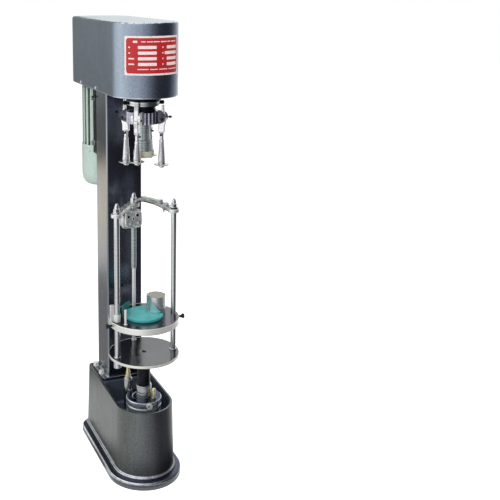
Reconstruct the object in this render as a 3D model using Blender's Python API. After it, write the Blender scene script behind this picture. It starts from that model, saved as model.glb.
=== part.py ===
"""Screw capping machine for bench use, modelled in metres with +Z up.

A cast base carries a box column. The column carries a drive head, with a belt
drive from a foot-mounted motor to a capping spindle. Below the spindle a lift
carries a bottle table between three rods and a neck yoke.

Every object hangs under one empty on the spindle axis, so all the places below
are measured from that axis at floor level, with the machine's front at -Y.
"""

import math

import bmesh
import bpy
from mathutils import Matrix, Vector

# General clearances and facet counts
SEAT_GAP = 0.0003          # between pieces that touch
RUN_GAP = 0.0006           # between pieces that slide or turn on each other
JOIN_DEPTH = 0.001         # how far a fused screw head is sunk into its carrier
BIG_SEGMENTS = 36
MID_SEGMENTS = 18
SMALL_SEGMENTS = 12
TINY_SEGMENTS = 8
ROLLER_SEGMENTS = 16

# Base casting
FLANGE_RADIUS = 0.098
FLANGE_REAR_LENGTH = 0.284
FLANGE_CORNER_RADIUS = 0.035
FLANGE_HEIGHT = 0.020
FLANGE_EDGE = 0.005
BEAD_HEIGHT = 0.007
BEAD_WIDTH = 0.005
ROUND_SHARE = 0.3            # where a rounded edge has its middle point
BEAD_SHOULDER = (0.8, 0.6)   # its middle point, as shares of its width and height
BODY_TOP_RADIUS = 0.0755
BODY_FOOT_RADIUS = 0.0795
BODY_TOP_LENGTH = 0.266
BODY_FOOT_LENGTH = 0.272
BODY_CORNER_RADIUS = 0.012
BASE_HEIGHT = 0.202
BASE_WALL = 0.0065
RIM_EDGE = 0.0018
DECK_DROP = 0.006
DECK_HEIGHT = BASE_HEIGHT - DECK_DROP
DECK_THICKNESS = 0.010
BOWL_DEPTH = 0.072
BOWL_FLOOR = BASE_HEIGHT - BOWL_DEPTH
BOWL_FLOOR_THICKNESS = 0.009
BOWL_LENGTH = 0.146
BOWL_CORNER_RADIUS = 0.024
BOWL_LEDGE = 0.001
BOWL_DRAFT = 0.002
CUT_OVERRUN = 0.010          # how far cutters reach past the solid that they open
REAR_HOLLOW_OVERLAP = 0.005

# Column
COLUMN_WIDTH = 0.100
COLUMN_DEPTH = 0.095
COLUMN_FRONT = 0.154
COLUMN_REAR = COLUMN_FRONT + COLUMN_DEPTH
COLUMN_WALL = 0.004
COLUMN_EDGE = 0.005
FOOT_PLATE_HEIGHT = 0.008
FOOT_PLATE_SIDE_MARGIN = 0.0165
FOOT_PLATE_MARGIN = 0.003
FOOT_PLATE_REAR = COLUMN_REAR + FOOT_PLATE_MARGIN
FOOT_PLATE_CORNER = 0.012
FOOT_BOLT_INSET = 0.009
FOOT_BOLT_SETBACKS = (0.031, 0.086)
HEX_HALF_WIDTH = 0.0062
HEX_HEIGHT = 0.0065
HEX_WASHER_RADIUS = 0.0074
HEX_WASHER_THICKNESS = 0.002
HEX_POINTS = 12
SCREW_EDGE_SHARE = 0.25       # chamfer of a round screw head, as a share of its radius
COLUMN_SCREW_PLACES = ((-0.020, 0.955), (-0.008, 0.470))
COLUMN_SCREW_RADIUS = 0.0035
COLUMN_SCREW_HEIGHT = 0.0032

# Where the motor stands behind the column
BRACKET_DEPTH = 0.027
MOTOR_FOOT_DISTANCE = 0.062
MOTOR_FOOT_FACE = COLUMN_REAR + BRACKET_DEPTH
MOTOR_Y = MOTOR_FOOT_FACE + MOTOR_FOOT_DISTANCE

# Drive head
HEAD_RADIUS = 0.085
HEAD_BEHIND_MOTOR = 0.067
HEAD_LENGTH = MOTOR_Y + HEAD_BEHIND_MOTOR
HEAD_CORNER_RADIUS = 0.062
HEAD_BOTTOM = 1.018
HEAD_HEIGHT = 0.182
HEAD_TOP = HEAD_BOTTOM + HEAD_HEIGHT
HEAD_WALL = 0.0025
HEAD_EDGE = 0.007
HEAD_PLATE_THICKNESS = 0.012
COVER_SCREW_YS = (0.133, 0.272)
COVER_SCREW_RADIUS = 0.0042
COVER_SCREW_HEIGHT = 0.004
MOTOR_SHAFT_PASSAGE = 0.006

# Rating plate, wrapped round the nose of the head
PLATE_FROM_DEG = -52.0
PLATE_TO_DEG = 50.0
PLATE_RISE = 0.057
PLATE_HEIGHT = 0.093
PLATE_BOTTOM = HEAD_BOTTOM + PLATE_RISE
PLATE_THICKNESS = 0.0012

# Motor
MOTOR_FIN_RADIUS = 0.061
MOTOR_BARREL_RADIUS = 0.053
MOTOR_FIN_COUNT = 24
MOTOR_FIN_WIDTH = 0.0032
MOTOR_FOOT_HALF_WIDTH = 0.050
MOTOR_FOOT_THICKNESS = 0.009
MOTOR_BODY_HEIGHT = 0.174
END_SHIELD_HEIGHT = 0.0125
END_SHIELD_SKIRT = 0.005
END_SHIELD_SLOPE = 0.009
MOTOR_HEAD_GAP = 0.0015
MOTOR_BODY_TOP = HEAD_BOTTOM - MOTOR_HEAD_GAP - END_SHIELD_HEIGHT
MOTOR_BODY_BOTTOM = MOTOR_BODY_TOP - MOTOR_BODY_HEIGHT
FINLESS_MARGIN_DEG = 8.0
MOTOR_SHAFT_RADIUS = 0.007
FAN_COVER_RADIUS = 0.063
FAN_COVER_HEIGHT = 0.108
FAN_COVER_BOTTOM = MOTOR_BODY_BOTTOM - FAN_COVER_HEIGHT
FAN_INLET_RADIUS = 0.010
FAN_COVER_WALL = 0.0018
FAN_COVER_EDGE = 0.026
FAN_HUB_RADIUS = 0.016
FAN_HUB_HEIGHT = 0.024
FAN_HUB_RISE = 0.040
FAN_BLADE_REACH = 0.048
FAN_BLADE_THICKNESS = 0.0024
FAN_BLADE_INSET = 0.002
FAN_BLADE_ROOT = 0.003
FAN_BLADE_COUNT = 6
MOTOR_SHAFT_RISE = 0.030
MOTOR_SHAFT_END = 0.006
BRACKET_THICKNESS = 0.006
BRACKET_LIP = 0.014
BRACKET_BELOW_MOTOR = 0.004
BRACKET_HEIGHT = 0.184
BRACKET_BOTTOM = MOTOR_BODY_BOTTOM - BRACKET_BELOW_MOTOR
BRACKET_BOLT_RISES = (0.029, 0.154)
TERMINAL_BOX_SIZE = (0.026, 0.072, 0.078)
TERMINAL_BOX_RISE = 0.095
TERMINAL_BOX_CORNER = 0.004
TERMINAL_BOX_CENTRE_Z = MOTOR_BODY_BOTTOM + TERMINAL_BOX_RISE
TERMINAL_LID_THICKNESS = 0.004
TERMINAL_LID_LIP = 0.0015
TERMINAL_LID_CORNER = 0.001
GLAND_RADIUS = 0.009
GLAND_LENGTH = 0.018
GLAND_BORE = 0.0045
GLAND_NOSE_STEP = 0.0025
GLAND_NOSE_HEIGHT = 0.004

# Belt drive
PULLEY_RISE = 0.052
PULLEY_BOTTOM = HEAD_BOTTOM + PULLEY_RISE
PULLEY_WIDTH = 0.022
SPINDLE_PULLEY_RADIUS = 0.070
MOTOR_PULLEY_RADIUS = 0.028
GROOVE_DEPTH = 0.009
GROOVE_TOP_WIDTH = 0.011
GROOVE_ROOT_WIDTH = 0.006
BELT_THICKNESS = 0.007
BELT_ROOT_GAP = 0.0015
PULLEY_DISH = 0.006
PULLEY_RIM_THICKNESS = 0.008
PULLEY_RIM_DRAFT = 0.002
PULLEY_HUB_WALL = 0.012
BELT_FLANK_GAP = 0.0004

# Spindle and its bearings
SHAFT_RADIUS = 0.0157
JOURNAL_RADIUS = 0.0125
SHAFT_PAST_PULLEY = 0.012
SHAFT_TOP = PULLEY_BOTTOM + PULLEY_WIDTH + SHAFT_PAST_PULLEY
SHAFT_EDGE = 0.001
SPINDLE_BORE_RADIUS = 0.0075
HOUSING_FLANGE_RADIUS = 0.043
HOUSING_FLANGE_DROP = 0.0115
HOUSING_FLANGE_BOTTOM = HEAD_BOTTOM - HOUSING_FLANGE_DROP
HOUSING_RADIUS = 0.033
HOUSING_RISE = 0.044
HOUSING_TOP = HEAD_BOTTOM + HOUSING_RISE
HOUSING_WAIST_STEP = 0.004
HOUSING_LIP_CLEARANCE = 0.0035
BEARING_OUTER_RADIUS = 0.026
BEARING_WIDTH = 0.015
LOWER_BEARING_RISE = 0.004
BEARING_PITCH = 0.0335
LOWER_BEARING_BOTTOM = HOUSING_FLANGE_BOTTOM + LOWER_BEARING_RISE
UPPER_BEARING_BOTTOM = LOWER_BEARING_BOTTOM + BEARING_PITCH
SHOULDER_GAP = 0.0008
SHAFT_SHOULDER = LOWER_BEARING_BOTTOM - SHOULDER_GAP
HOUSING_SCREW_CIRCLE = 0.0375
HOUSING_SCREW_COUNT = 6
HOUSING_SCREW_RADIUS = 0.0038
HOUSING_SCREW_HEIGHT = 0.0018

# Capping head
CLAMP_RING_RADIUS = 0.0404
CLAMP_RING_GAP = 0.001
CLAMP_RING_HEIGHT = 0.0125
CLAMP_RING_EDGE = 0.0015
CLAMP_RING_TOP = HOUSING_FLANGE_BOTTOM - CLAMP_RING_GAP
CLAMP_RING_BOTTOM = CLAMP_RING_TOP - CLAMP_RING_HEIGHT
RING_SCREW_REACH = 0.060
RING_SCREW_RADIUS = 0.0035
RING_SCREW_DEGS = (-10.0, 170.0)
RING_SCREW_NECK_SHARE = 0.45
RING_SCREW_NECK_RADIUS = 0.0021
SLEEVE_RADIUS = 0.030
SLEEVE_HEIGHT = 0.015
HUB_RADIUS = 0.0438
HUB_HEIGHT = 0.029
HUB_TOP = CLAMP_RING_BOTTOM - SLEEVE_HEIGHT
HUB_BOTTOM = HUB_TOP - HUB_HEIGHT
SPINDLE_BORE_RISE = 0.006
SPINDLE_BORE_TOP = HUB_TOP + SPINDLE_BORE_RISE
EAR_ROOT = 0.004
HUB_FLUTE_MARGIN_DEG = 1.5
HUB_FLUTE_DEPTH = 0.0018
FLUTES_PER_QUARTER = 6
EAR_REACH = 0.065
EAR_THICKNESS = 0.006
ARM_THICKNESS = 0.011
ARM_ANGLES_DEG = (-40.0, 50.0, 140.0, 230.0)
ARM_PIN_CIRCLE = 0.0525
ARM_PIN_RISE = 0.012
ARM_PIN_HEIGHT = HUB_BOTTOM + ARM_PIN_RISE
ARM_PIN_RADIUS = 0.003
ARM_PIN_HEAD_STEP = 0.0012
ARM_PIN_PROUD = 0.0015
ARM_EYE_RADIUS = 0.0072
ARM_CIRCLE = 0.0475
ARM_BLOCK_HALF_WIDTH = 0.009
ARM_BLOCK_DROP = 0.004
ARM_BLOCK_HEIGHT = 0.018
ARM_BLOCK_TOP = HUB_BOTTOM - ARM_BLOCK_DROP
ARM_BLOCK_BOTTOM = ARM_BLOCK_TOP - ARM_BLOCK_HEIGHT
ARM_STEP = 0.0015
ARM_NECK_RADIUS = 0.0055
ARM_NECK_HEIGHT = 0.010
ARM_NECK_TAPER = 0.004
ARM_SHOULDER_TAPER = 0.006
ARM_STEM_OVERLAP = 0.004
ARM_NECK_TOP = ARM_BLOCK_BOTTOM - ARM_NECK_TAPER
ARM_NECK_BOTTOM = ARM_NECK_TOP - ARM_NECK_HEIGHT
HOLDER_RADIUS = 0.0085
HOLDER_CHAMFER = 0.002
HOLDER_STEP = 0.001
ROLLER_RADIUS = 0.019
ROLLER_RIM_WIDTH = 0.0035
ROLLER_BOSS_RADIUS = 0.0095
ROLLER_WIDTH = 0.009
ROLLER_BEVEL = 0.0012
ROLLER_DROPS = (0.108, 0.0955)      # below the hub, for the arms in turn
AXLE_RADIUS = 0.003
AXLE_HEAD_RADIUS = 0.006
AXLE_HEAD_HEIGHT = 0.0035
AXLE_HEAD_EDGE = 0.001
STEM_RADIUS = 0.0070
STEM_LENGTH = 0.078
GUIDE_BLOCK_RADIUS = 0.022
GUIDE_BLOCK_DROP = 0.044
GUIDE_BLOCK_HEIGHT = 0.0285
GUIDE_BLOCK_EDGE = 0.002
GUIDE_BLOCK_TOP = HUB_BOTTOM - GUIDE_BLOCK_DROP
GUIDE_BLOCK_BOTTOM = GUIDE_BLOCK_TOP - GUIDE_BLOCK_HEIGHT
PAD_RADIUS = 0.026
PAD_HEIGHT = 0.0165
PAD_LAP = 0.002
PAD_FLOOR = 0.0055
PAD_EDGE = 0.003
PAD_TOP = GUIDE_BLOCK_BOTTOM + PAD_LAP
PAD_BOTTOM = PAD_TOP - PAD_HEIGHT
STEM_TOP = PAD_BOTTOM + STEM_LENGTH
SPRING_WIRE = 0.0011
SPRING_TURNS = 5
SPRING_STEPS_PER_TURN = 7
SPRING_WIRE_SIDES = 4

# Lift in the bowl
GUIDE_FOOT_RADIUS = 0.0465
GUIDE_FOOT_HEIGHT = 0.012
GUIDE_BODY_RADIUS = 0.036
COLLAR_RADIUS = 0.047
COLLAR_RISE = 0.036
COLLAR_HEIGHT = 0.050
COLLAR_BOTTOM = BOWL_FLOOR + COLLAR_RISE
COLLAR_TOP = COLLAR_BOTTOM + COLLAR_HEIGHT
COLLAR_LAYERS = 3
COLLAR_GROOVE = 0.0022
COLLAR_BOLT_RADIUS = 0.009
COLLAR_BOLT_DEG = -65.0
COLLAR_BOLT_RISE = 0.038
COLLAR_BOLT_LENGTH = 0.009
COLLAR_BOLT_SEAT = 0.004
COLLAR_SPLIT_X = 0.0065
COLLAR_SPLIT_WIDTH = 0.003
COLLAR_LAYER_STEP = 0.0004
GUIDE_FOOT_EDGE = 0.002
BUSH_RADIUS = 0.0205
BUSH_RISE = 0.034
BUSH_TOP = COLLAR_TOP + BUSH_RISE
BUSH_EDGE = 0.001
LIFT_SHAFT_RADIUS = 0.0125
LIFT_SHOULDER_RADIUS = 0.017
LIFT_SHAFT_BOTTOM = 0.050
LIFT_HEAD_STEP = 0.005
LIFT_HEAD_HEIGHT = 0.010
SHAFT_HOLE_CLEARANCE = 0.0024
STOP_POST_PLACE = (-0.0259, 0.0517)
STOP_POST_RADIUS = 0.0100
STOP_POST_HEIGHT = 0.120
STOP_POST_EDGE = 0.003
STOP_POST_TOP = BOWL_FLOOR + STOP_POST_HEIGHT
STOP_TIP_RADIUS = 0.006
STOP_TIP_HEIGHT = 0.032
STOP_TIP_TOP = STOP_POST_TOP + STOP_TIP_HEIGHT
STOP_NUT_STEP = 0.002
STOP_NUT_HEIGHT = 0.006
BRASS_EDGE = 0.0015
GUIDE_PIN_PLACE = (0.0193, -0.0236)
GUIDE_PIN_RADIUS = 0.005
GUIDE_PIN_HEIGHT = 0.027
GUIDE_PIN_TOP = COLLAR_TOP + GUIDE_PIN_HEIGHT

# Carriage that the lift carries
DISC_RADIUS = 0.0924
LOWER_DISC_TOP = 0.341
LOWER_DISC_THICKNESS = 0.007
ROD_RADIUS = 0.007
ROD_X = 0.077
ROD_Y = -0.014
REAR_ROD_Y = 0.078
REAR_ROD_RADIUS = 0.0048
SLEEVE_TUBE_RADIUS = 0.0068
SLEEVE_TUBE_BOTTOM = 0.546
ROD_NUT_WALL = 0.0028
ROD_NAMES = ("left", "right", "rear")
ROD_NUT_HEIGHT = 0.020
ROD_NUT_EDGE = 0.001
YOKE_TOP = 0.724
ROD_PAST_YOKE = 0.004
ROD_TOP = YOKE_TOP + ROD_PAST_YOKE
YOKE_THICKNESS = 0.010
YOKE_LUG_RADIUS = 0.0145
YOKE_REAR_RADIUS = 0.024
YOKE_THROAT_RADIUS = 0.044
YOKE_THROAT_HALF_DEG = 91.5
YOKE_LUG_WRAP_DEG = 20.0
DOME_NUT_RADIUS = 0.0078
DOME_NUT_HEIGHT = 0.027
DOME_NUT_STEP = 0.0008
DOME_WASHER_RADIUS = 0.0095
DOME_WASHER_HEIGHT = 0.004
NECK_BLOCK_LEFT = -0.038
NECK_BLOCK_RIGHT = 0.014
NECK_BLOCK_FRONT = 0.056
NECK_BLOCK_REAR = 0.094
NECK_BLOCK_HEIGHT = 0.053
NECK_BLOCK_CORNER = 0.014
NECK_BLOCK_SMALL_CORNER = 0.004
JAW_THICKNESS = 0.006
JAW_BOTTOM_INSET = 0.006
JAW_SIDE_INSET = 0.004
JAW_CORNER = 0.008
JAW_PIN_RADIUS = 0.0025
JAW_PIN_OFFSET = 0.0095
JAW_PIN_LENGTH = 0.020
JAW_PIN_END_ROOM = 0.003
JAW_BOLT_HEIGHT = 0.007
JAW_BOLT_PLACES = ((-0.008, 0.010), (0.012, 0.011))
JAW_BOLT_RADIUS = 0.0045

# Bottle table
TABLE_TOP = 0.439
TABLE_RIM_DEPTH = 0.017
CLAMP_NUT_RADIUS = 0.0088
CLAMP_NUT_HEIGHT = 0.028
PAD_DISC_RADIUS = 0.051
PAD_DISC_THICKNESS = 0.007
STOP_BLOCK_PLACE = (0.039, 0.013)
STOP_BLOCK_RADIUS = 0.025
STOP_BLOCK_HEIGHT = 0.048
STOP_BLOCK_TOP = TABLE_TOP + STOP_BLOCK_HEIGHT
STOP_BLOCK_EDGE = 0.0015
STOP_BLOCK_NOTCH = 0.012
STOP_BLOCK_NOTCH_DEPTH = 0.009
STOP_BLOCK_NOTCH_RISE = 0.011
BACK_STOP_RADIUS = 0.0545
BACK_STOP_THICKNESS = 0.0025
BACK_STOP_HEIGHT = 0.024
BACK_STOP_FROM_DEG = 112.0
BACK_STOP_TO_DEG = 196.0
STOP_BAR_PLACE = (-0.0640, -0.0420)
STOP_BAR_RADIUS = 0.0032
STOP_BAR_HEIGHT = 0.041
STOP_BAR_TOP = TABLE_TOP + STOP_BAR_HEIGHT
ROD_CLIP_RADIUS = 0.0120
ROD_CLIP_HEIGHT = 0.032
THUMB_SCREW_DROP = 0.009
THUMB_SCREW_Z = TABLE_TOP - THUMB_SCREW_DROP
THUMB_SHANK_RADIUS = 0.003
THUMB_HEAD_RADIUS = 0.0065
THUMB_HEAD_LENGTH = 0.009
THUMB_HEAD_EDGE = 0.0015
THUMB_SCREW_REACH = 0.107
THUMB_DRILL_START = 0.002

# The axis is moved forward so that the machine's outline is centred on Y = 0
SPINDLE_Y = (FLANGE_RADIUS - HEAD_LENGTH) / 2


def start_empty_scene():
    """Remove whatever the file holds."""
    for obj in list(bpy.data.objects):
        bpy.data.objects.remove(obj, do_unlink=True)


def material(name, colour, roughness, metallic):
    """One Principled finish."""
    found = bpy.data.materials.get(name)
    if found:
        return found
    made = bpy.data.materials.new(name)
    made.use_nodes = True
    shader = made.node_tree.nodes["Principled BSDF"]
    shader.inputs["Base Color"].default_value = (*colour, 1.0)
    shader.inputs["Roughness"].default_value = roughness
    shader.inputs["Metallic"].default_value = metallic
    return made


def finishes():
    """The finishes by plain name."""
    return {
        "hammer_grey": material("hammer_grey", (0.17, 0.19, 0.23), 0.35, 0.75),
        "casting_grey": material("casting_grey", (0.13, 0.14, 0.17), 0.40, 0.70),
        "column_grey": material("column_grey", (0.20, 0.21, 0.24), 0.35, 0.75),
        "black_steel": material("black_steel", (0.02, 0.02, 0.025), 0.45, 0.60),
        "polished_steel": material("polished_steel", (0.72, 0.73, 0.74), 0.14, 1.0),
        "chrome": material("chrome", (0.85, 0.86, 0.87), 0.08, 1.0),
        "cast_steel": material("cast_steel", (0.45, 0.47, 0.44), 0.38, 0.90),
        "pale_green": material("pale_green", (0.58, 0.70, 0.64), 0.45, 0.10),
        "teal_rubber": material("teal_rubber", (0.10, 0.42, 0.41), 0.45, 0.0),
        "cream_nylon": material("cream_nylon", (0.80, 0.76, 0.60), 0.45, 0.0),
        "brass": material("brass", (0.78, 0.66, 0.36), 0.28, 1.0),
        "red_plate": material("red_plate", (0.60, 0.05, 0.06), 0.35, 0.10),
        "belt_rubber": material("belt_rubber", (0.03, 0.03, 0.03), 0.75, 0.0),
        "black_plastic": material("black_plastic", (0.02, 0.02, 0.02), 0.40, 0.0),
    }


def empty(name, at, parent=None):
    """An empty at a place given in the spindle frame."""
    made = bpy.data.objects.new(name, None)
    made.empty_display_size = 0.02
    made.parent = parent
    made.location = Vector(at) - (place_of(parent) if parent else Vector())
    bpy.context.scene.collection.objects.link(made)
    return made


def place_of(obj):
    """Where an object lies in the spindle frame, following its parents up to the machine's empty."""
    place = Vector()
    while obj is not None and obj.parent is not None:
        place += obj.location
        obj = obj.parent
    return place


def finish_object(name, bm, finish, parent, origin=None):
    """Make one object of a mesh in the spindle frame, with its origin at its parent's or at its own."""
    origin = Vector(origin) if origin else place_of(parent)
    bmesh.ops.remove_doubles(bm, verts=bm.verts, dist=1e-6)
    bmesh.ops.recalc_face_normals(bm, faces=bm.faces)
    bmesh.ops.translate(bm, verts=bm.verts, vec=-origin)
    mesh = bpy.data.meshes.new(name)
    bm.to_mesh(mesh)
    bm.free()
    mesh.materials.append(finish)
    mesh.shade_smooth()
    mesh.set_sharp_from_angle(angle=math.radians(30))
    made = bpy.data.objects.new(name, mesh)
    made.parent = parent
    made.location = origin - place_of(parent)
    bpy.context.scene.collection.objects.link(made)
    return made


def cut(target, cutter, operation="DIFFERENCE"):
    """Take a cutter away from an object, or join it to it."""
    cutter.hide_render = True
    cutter.display_type = "WIRE"
    modifier = target.modifiers.new(cutter.name, "BOOLEAN")
    modifier.operation = operation
    modifier.solver = "EXACT"
    modifier.object = cutter


def arc(centre, radius, start_deg, end_deg, steps):
    """Points along an arc, both ends included."""
    points = []
    for i in range(steps + 1):
        angle = math.radians(start_deg + (end_deg - start_deg) * i / steps)
        points.append((centre[0] + radius * math.cos(angle), centre[1] + radius * math.sin(angle)))
    return points


def circle(centre, radius, segments):
    """A closed round outline."""
    return arc(centre, radius, 0.0, 360.0 * (segments - 1) / segments, segments - 1)


def long_round(front_radius, rear, corner, nose_steps=18, corner_steps=5):
    """Half a circle at the front on the spindle axis, straight sides and a rear wall with round corners."""
    side = front_radius - corner
    back = rear - corner
    points = arc((0.0, 0.0), front_radius, 180.0, 360.0, nose_steps)
    points += arc((side, back), corner, 0.0, 90.0, corner_steps)
    points += arc((-side, back), corner, 90.0, 180.0, corner_steps)
    return points


def rounded_box(x0, x1, y0, y1, corner, steps=3):
    """A rectangle with round corners."""
    return (
        arc((x1 - corner, y0 + corner), corner, -90.0, 0.0, steps)
        + arc((x1 - corner, y1 - corner), corner, 0.0, 90.0, steps)
        + arc((x0 + corner, y1 - corner), corner, 90.0, 180.0, steps)
        + arc((x0 + corner, y0 + corner), corner, 180.0, 270.0, steps)
    )


def prism(outline, low, high, holes=()):
    """An outline in the XY plane, with holes, extruded from low to high."""
    bm = bmesh.new()
    for loop in (outline, *holes):
        verts = [bm.verts.new((x, y, low)) for x, y in loop]
        for a, b in zip(verts, verts[1:] + verts[:1]):
            bm.edges.new((a, b))
    bmesh.ops.triangle_fill(bm, use_beauty=True, use_dissolve=False, edges=bm.edges[:])
    grown = bmesh.ops.extrude_face_region(bm, geom=bm.faces[:])
    top = [v for v in grown["geom"] if isinstance(v, bmesh.types.BMVert)]
    bmesh.ops.translate(bm, verts=top, vec=(0.0, 0.0, high - low))
    return bm


def side_prism(outline, half_thickness, turn_deg=0.0):
    """An outline given as (radius, height), extruded both ways across its plane and turned about Z."""
    bm = prism(outline, -half_thickness, half_thickness)
    stand = Matrix.Rotation(math.radians(turn_deg), 4, "Z") @ Matrix.Rotation(math.radians(90.0), 4, "X")
    bmesh.ops.transform(bm, matrix=stand, verts=bm.verts)
    return bm


def loft(rings):
    """A closed skin over outlines of equal length, each given with its height."""
    bm = bmesh.new()
    rows = [[bm.verts.new((x, y, z)) for x, y in outline] for z, outline in rings]
    count = len(rows[0])
    for low, high in zip(rows, rows[1:]):
        for i in range(count):
            j = (i + 1) % count
            bm.faces.new((low[i], low[j], high[j], high[i]))
    bm.faces.new(rows[0])
    bm.faces.new(rows[-1])
    bmesh.ops.triangulate(bm, faces=[f for f in bm.faces if len(f.verts) > 4])
    return bm


def turned(profile, centre=(0.0, 0.0), segments=MID_SEGMENTS, closed=True):
    """A profile of (radius, height) points turned about a vertical line, as on a lathe.

    A closed profile is a ring. One that is not closed starts and ends on the axis.
    """
    bm = bmesh.new()
    verts = [bm.verts.new((radius, 0.0, height)) for radius, height in profile]
    edges = [bm.edges.new(pair) for pair in zip(verts, verts[1:])]
    if closed:
        edges.append(bm.edges.new((verts[-1], verts[0])))
    bmesh.ops.spin(
        bm,
        geom=verts + edges,
        cent=(0.0, 0.0, 0.0),
        axis=(0.0, 0.0, 1.0),
        angle=math.tau,
        steps=segments,
        use_merge=True,
    )
    bmesh.ops.remove_doubles(bm, verts=bm.verts, dist=1e-6)
    bmesh.ops.recalc_face_normals(bm, faces=bm.faces)
    bmesh.ops.translate(bm, verts=bm.verts, vec=(centre[0], centre[1], 0.0))
    return bm


def pin(radius, low, high, centre=(0.0, 0.0), segments=SMALL_SEGMENTS):
    """A plain upright pin."""
    return turned([(0.0, low), (radius, low), (radius, high), (0.0, high)], centre, segments, closed=False)


def turned_to_axis(profile, centre, segments=SMALL_SEGMENTS):
    """A turned shape whose closed profile has one side on the axis, so that side leaves no surface."""
    start = profile.index(next(p for p in profile if p[0] == 0.0))
    order = profile[start + 1:] + profile[:start + 1]
    return turned(order, centre, segments, closed=False)


def ring(inner, outer, low, high, centre=(0.0, 0.0), segments=MID_SEGMENTS):
    """A plain ring."""
    return turned([(inner, low), (outer, low), (outer, high), (inner, high)], centre, segments)


def laid(bm, at, direction):
    """Lay a mesh made along +Z so that it runs from a point in a direction."""
    turn = Vector((0.0, 0.0, 1.0)).rotation_difference(Vector(direction)).to_matrix().to_4x4()
    bmesh.ops.transform(bm, matrix=Matrix.Translation(Vector(at)) @ turn, verts=bm.verts)
    return bm


def hex_bolt():
    """A hexagon head on a wider hexagon collar, along +Z from zero, its foot sunk by the joining depth."""
    step = JOIN_DEPTH + HEX_WASHER_THICKNESS
    top = step + HEX_HEIGHT
    rings = [
        (0.0, circle((0.0, 0.0), HEX_WASHER_RADIUS, HEX_POINTS)),
        (step, circle((0.0, 0.0), HEX_WASHER_RADIUS, HEX_POINTS)),
        (step, hex_outline(HEX_HALF_WIDTH)),
        (top, hex_outline(HEX_HALF_WIDTH)),
    ]
    return loft(rings)


def hex_outline(radius):
    """A hexagon with a point in the middle of each side, to match a round outline's count."""
    corners = circle((0.0, 0.0), radius, 6)
    points = []
    for a, b in zip(corners, corners[1:] + corners[:1]):
        points += [a, ((a[0] + b[0]) / 2, (a[1] + b[1]) / 2)]
    return points


def cap_screw(radius, height, segments=TINY_SEGMENTS):
    """A round screw head with a chamfered rim, along +Z from zero."""
    edge = radius * SCREW_EDGE_SHARE
    profile = [(0.0, 0.0), (radius, 0.0), (radius, height - edge), (radius - edge, height), (0.0, height)]
    return turned(profile, segments=segments, closed=False)


def cutter_from(bm, name, like):
    """Make an unseen cutter under the same parent as the object it shapes."""
    made = finish_object(name, bm, like.data.materials[0], like.parent)
    made.hide_render = True
    made.display_type = "WIRE"
    return made


def fuse(target, name, bm):
    """Join a mesh that overlaps an object to it as one body."""
    cut(target, cutter_from(bm, name, target), "UNION")


def carve(target, name, bm):
    """Cut a mesh out of an object."""
    cut(target, cutter_from(bm, name, target))


def base_outer_rings():
    """Outlines of the casting from the floor to its rim."""
    def flange(inset):
        return long_round(FLANGE_RADIUS - inset, FLANGE_REAR_LENGTH - inset, FLANGE_CORNER_RADIUS - inset)

    def bead(out):
        return long_round(BODY_FOOT_RADIUS + out, BODY_FOOT_LENGTH + out, BODY_CORNER_RADIUS + out)

    def rim(inset):
        return long_round(BODY_TOP_RADIUS - inset, BODY_TOP_LENGTH - inset, BODY_CORNER_RADIUS - inset)

    return [
        (0.0, flange(0.0)),
        (FLANGE_HEIGHT - FLANGE_EDGE, flange(0.0)),
        (FLANGE_HEIGHT - ROUND_SHARE * FLANGE_EDGE, flange(ROUND_SHARE * FLANGE_EDGE)),
        (FLANGE_HEIGHT, flange(FLANGE_EDGE)),
        (FLANGE_HEIGHT, bead(BEAD_WIDTH)),
        (FLANGE_HEIGHT + BEAD_SHOULDER[1] * BEAD_HEIGHT, bead(BEAD_SHOULDER[0] * BEAD_WIDTH)),
        (FLANGE_HEIGHT + BEAD_HEIGHT, bead(0.0)),
        (BASE_HEIGHT - RIM_EDGE, rim(0.0)),
        (BASE_HEIGHT, rim(RIM_EDGE)),
    ]


def base_casting(frame, finish):
    """Hollow casting: an open bowl at the front, a deck at the rear, and open underneath."""
    casting = finish_object("base_casting", loft(base_outer_rings()), finish, frame)
    inner_radius = BODY_TOP_RADIUS - BASE_WALL
    inner_rear = BODY_TOP_LENGTH - BASE_WALL
    above = BASE_HEIGHT + CUT_OVERRUN
    recess = prism(long_round(inner_radius, inner_rear, BODY_CORNER_RADIUS - BASE_WALL), DECK_HEIGHT, above)
    bowl_radius = inner_radius - BOWL_LEDGE
    bowl = loft([
        (BOWL_FLOOR, long_round(bowl_radius - BOWL_DRAFT, BOWL_LENGTH - BOWL_DRAFT, BOWL_CORNER_RADIUS)),
        (DECK_HEIGHT + DECK_DROP / 2, long_round(bowl_radius, BOWL_LENGTH, BOWL_CORNER_RADIUS)),
    ])
    under_top = BOWL_FLOOR - BOWL_FLOOR_THICKNESS
    inner_corner = BODY_CORNER_RADIUS - BASE_WALL
    under_front = prism(long_round(inner_radius, inner_rear, inner_corner), -CUT_OVERRUN, under_top)
    rear_front_wall = BOWL_LENGTH + BASE_WALL
    under_rear = prism(
        rounded_box(-bowl_radius, bowl_radius, rear_front_wall, inner_rear - BOWL_LEDGE, inner_corner),
        under_top - REAR_HOLLOW_OVERLAP,
        DECK_HEIGHT - DECK_THICKNESS,
    )
    shaft_hole = pin(
        LIFT_SHAFT_RADIUS + SHAFT_HOLE_CLEARANCE, under_top - CUT_OVERRUN, BOWL_FLOOR + CUT_OVERRUN,
        segments=MID_SEGMENTS,
    )
    for name, bm in (
        ("deck_recess_cut", recess),
        ("bowl_cut", bowl),
        ("underside_cut", under_front),
        ("rear_hollow_cut", under_rear),
        ("shaft_hole_cut", shaft_hole),
    ):
        carve(casting, name, bm)


def column_outline(wall=0.0):
    """The column's section, set in by a wall thickness."""
    half = COLUMN_WIDTH / 2 - wall
    return rounded_box(
        -half, half, COLUMN_FRONT + wall, COLUMN_REAR - wall, COLUMN_EDGE - wall / 2
    )


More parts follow.
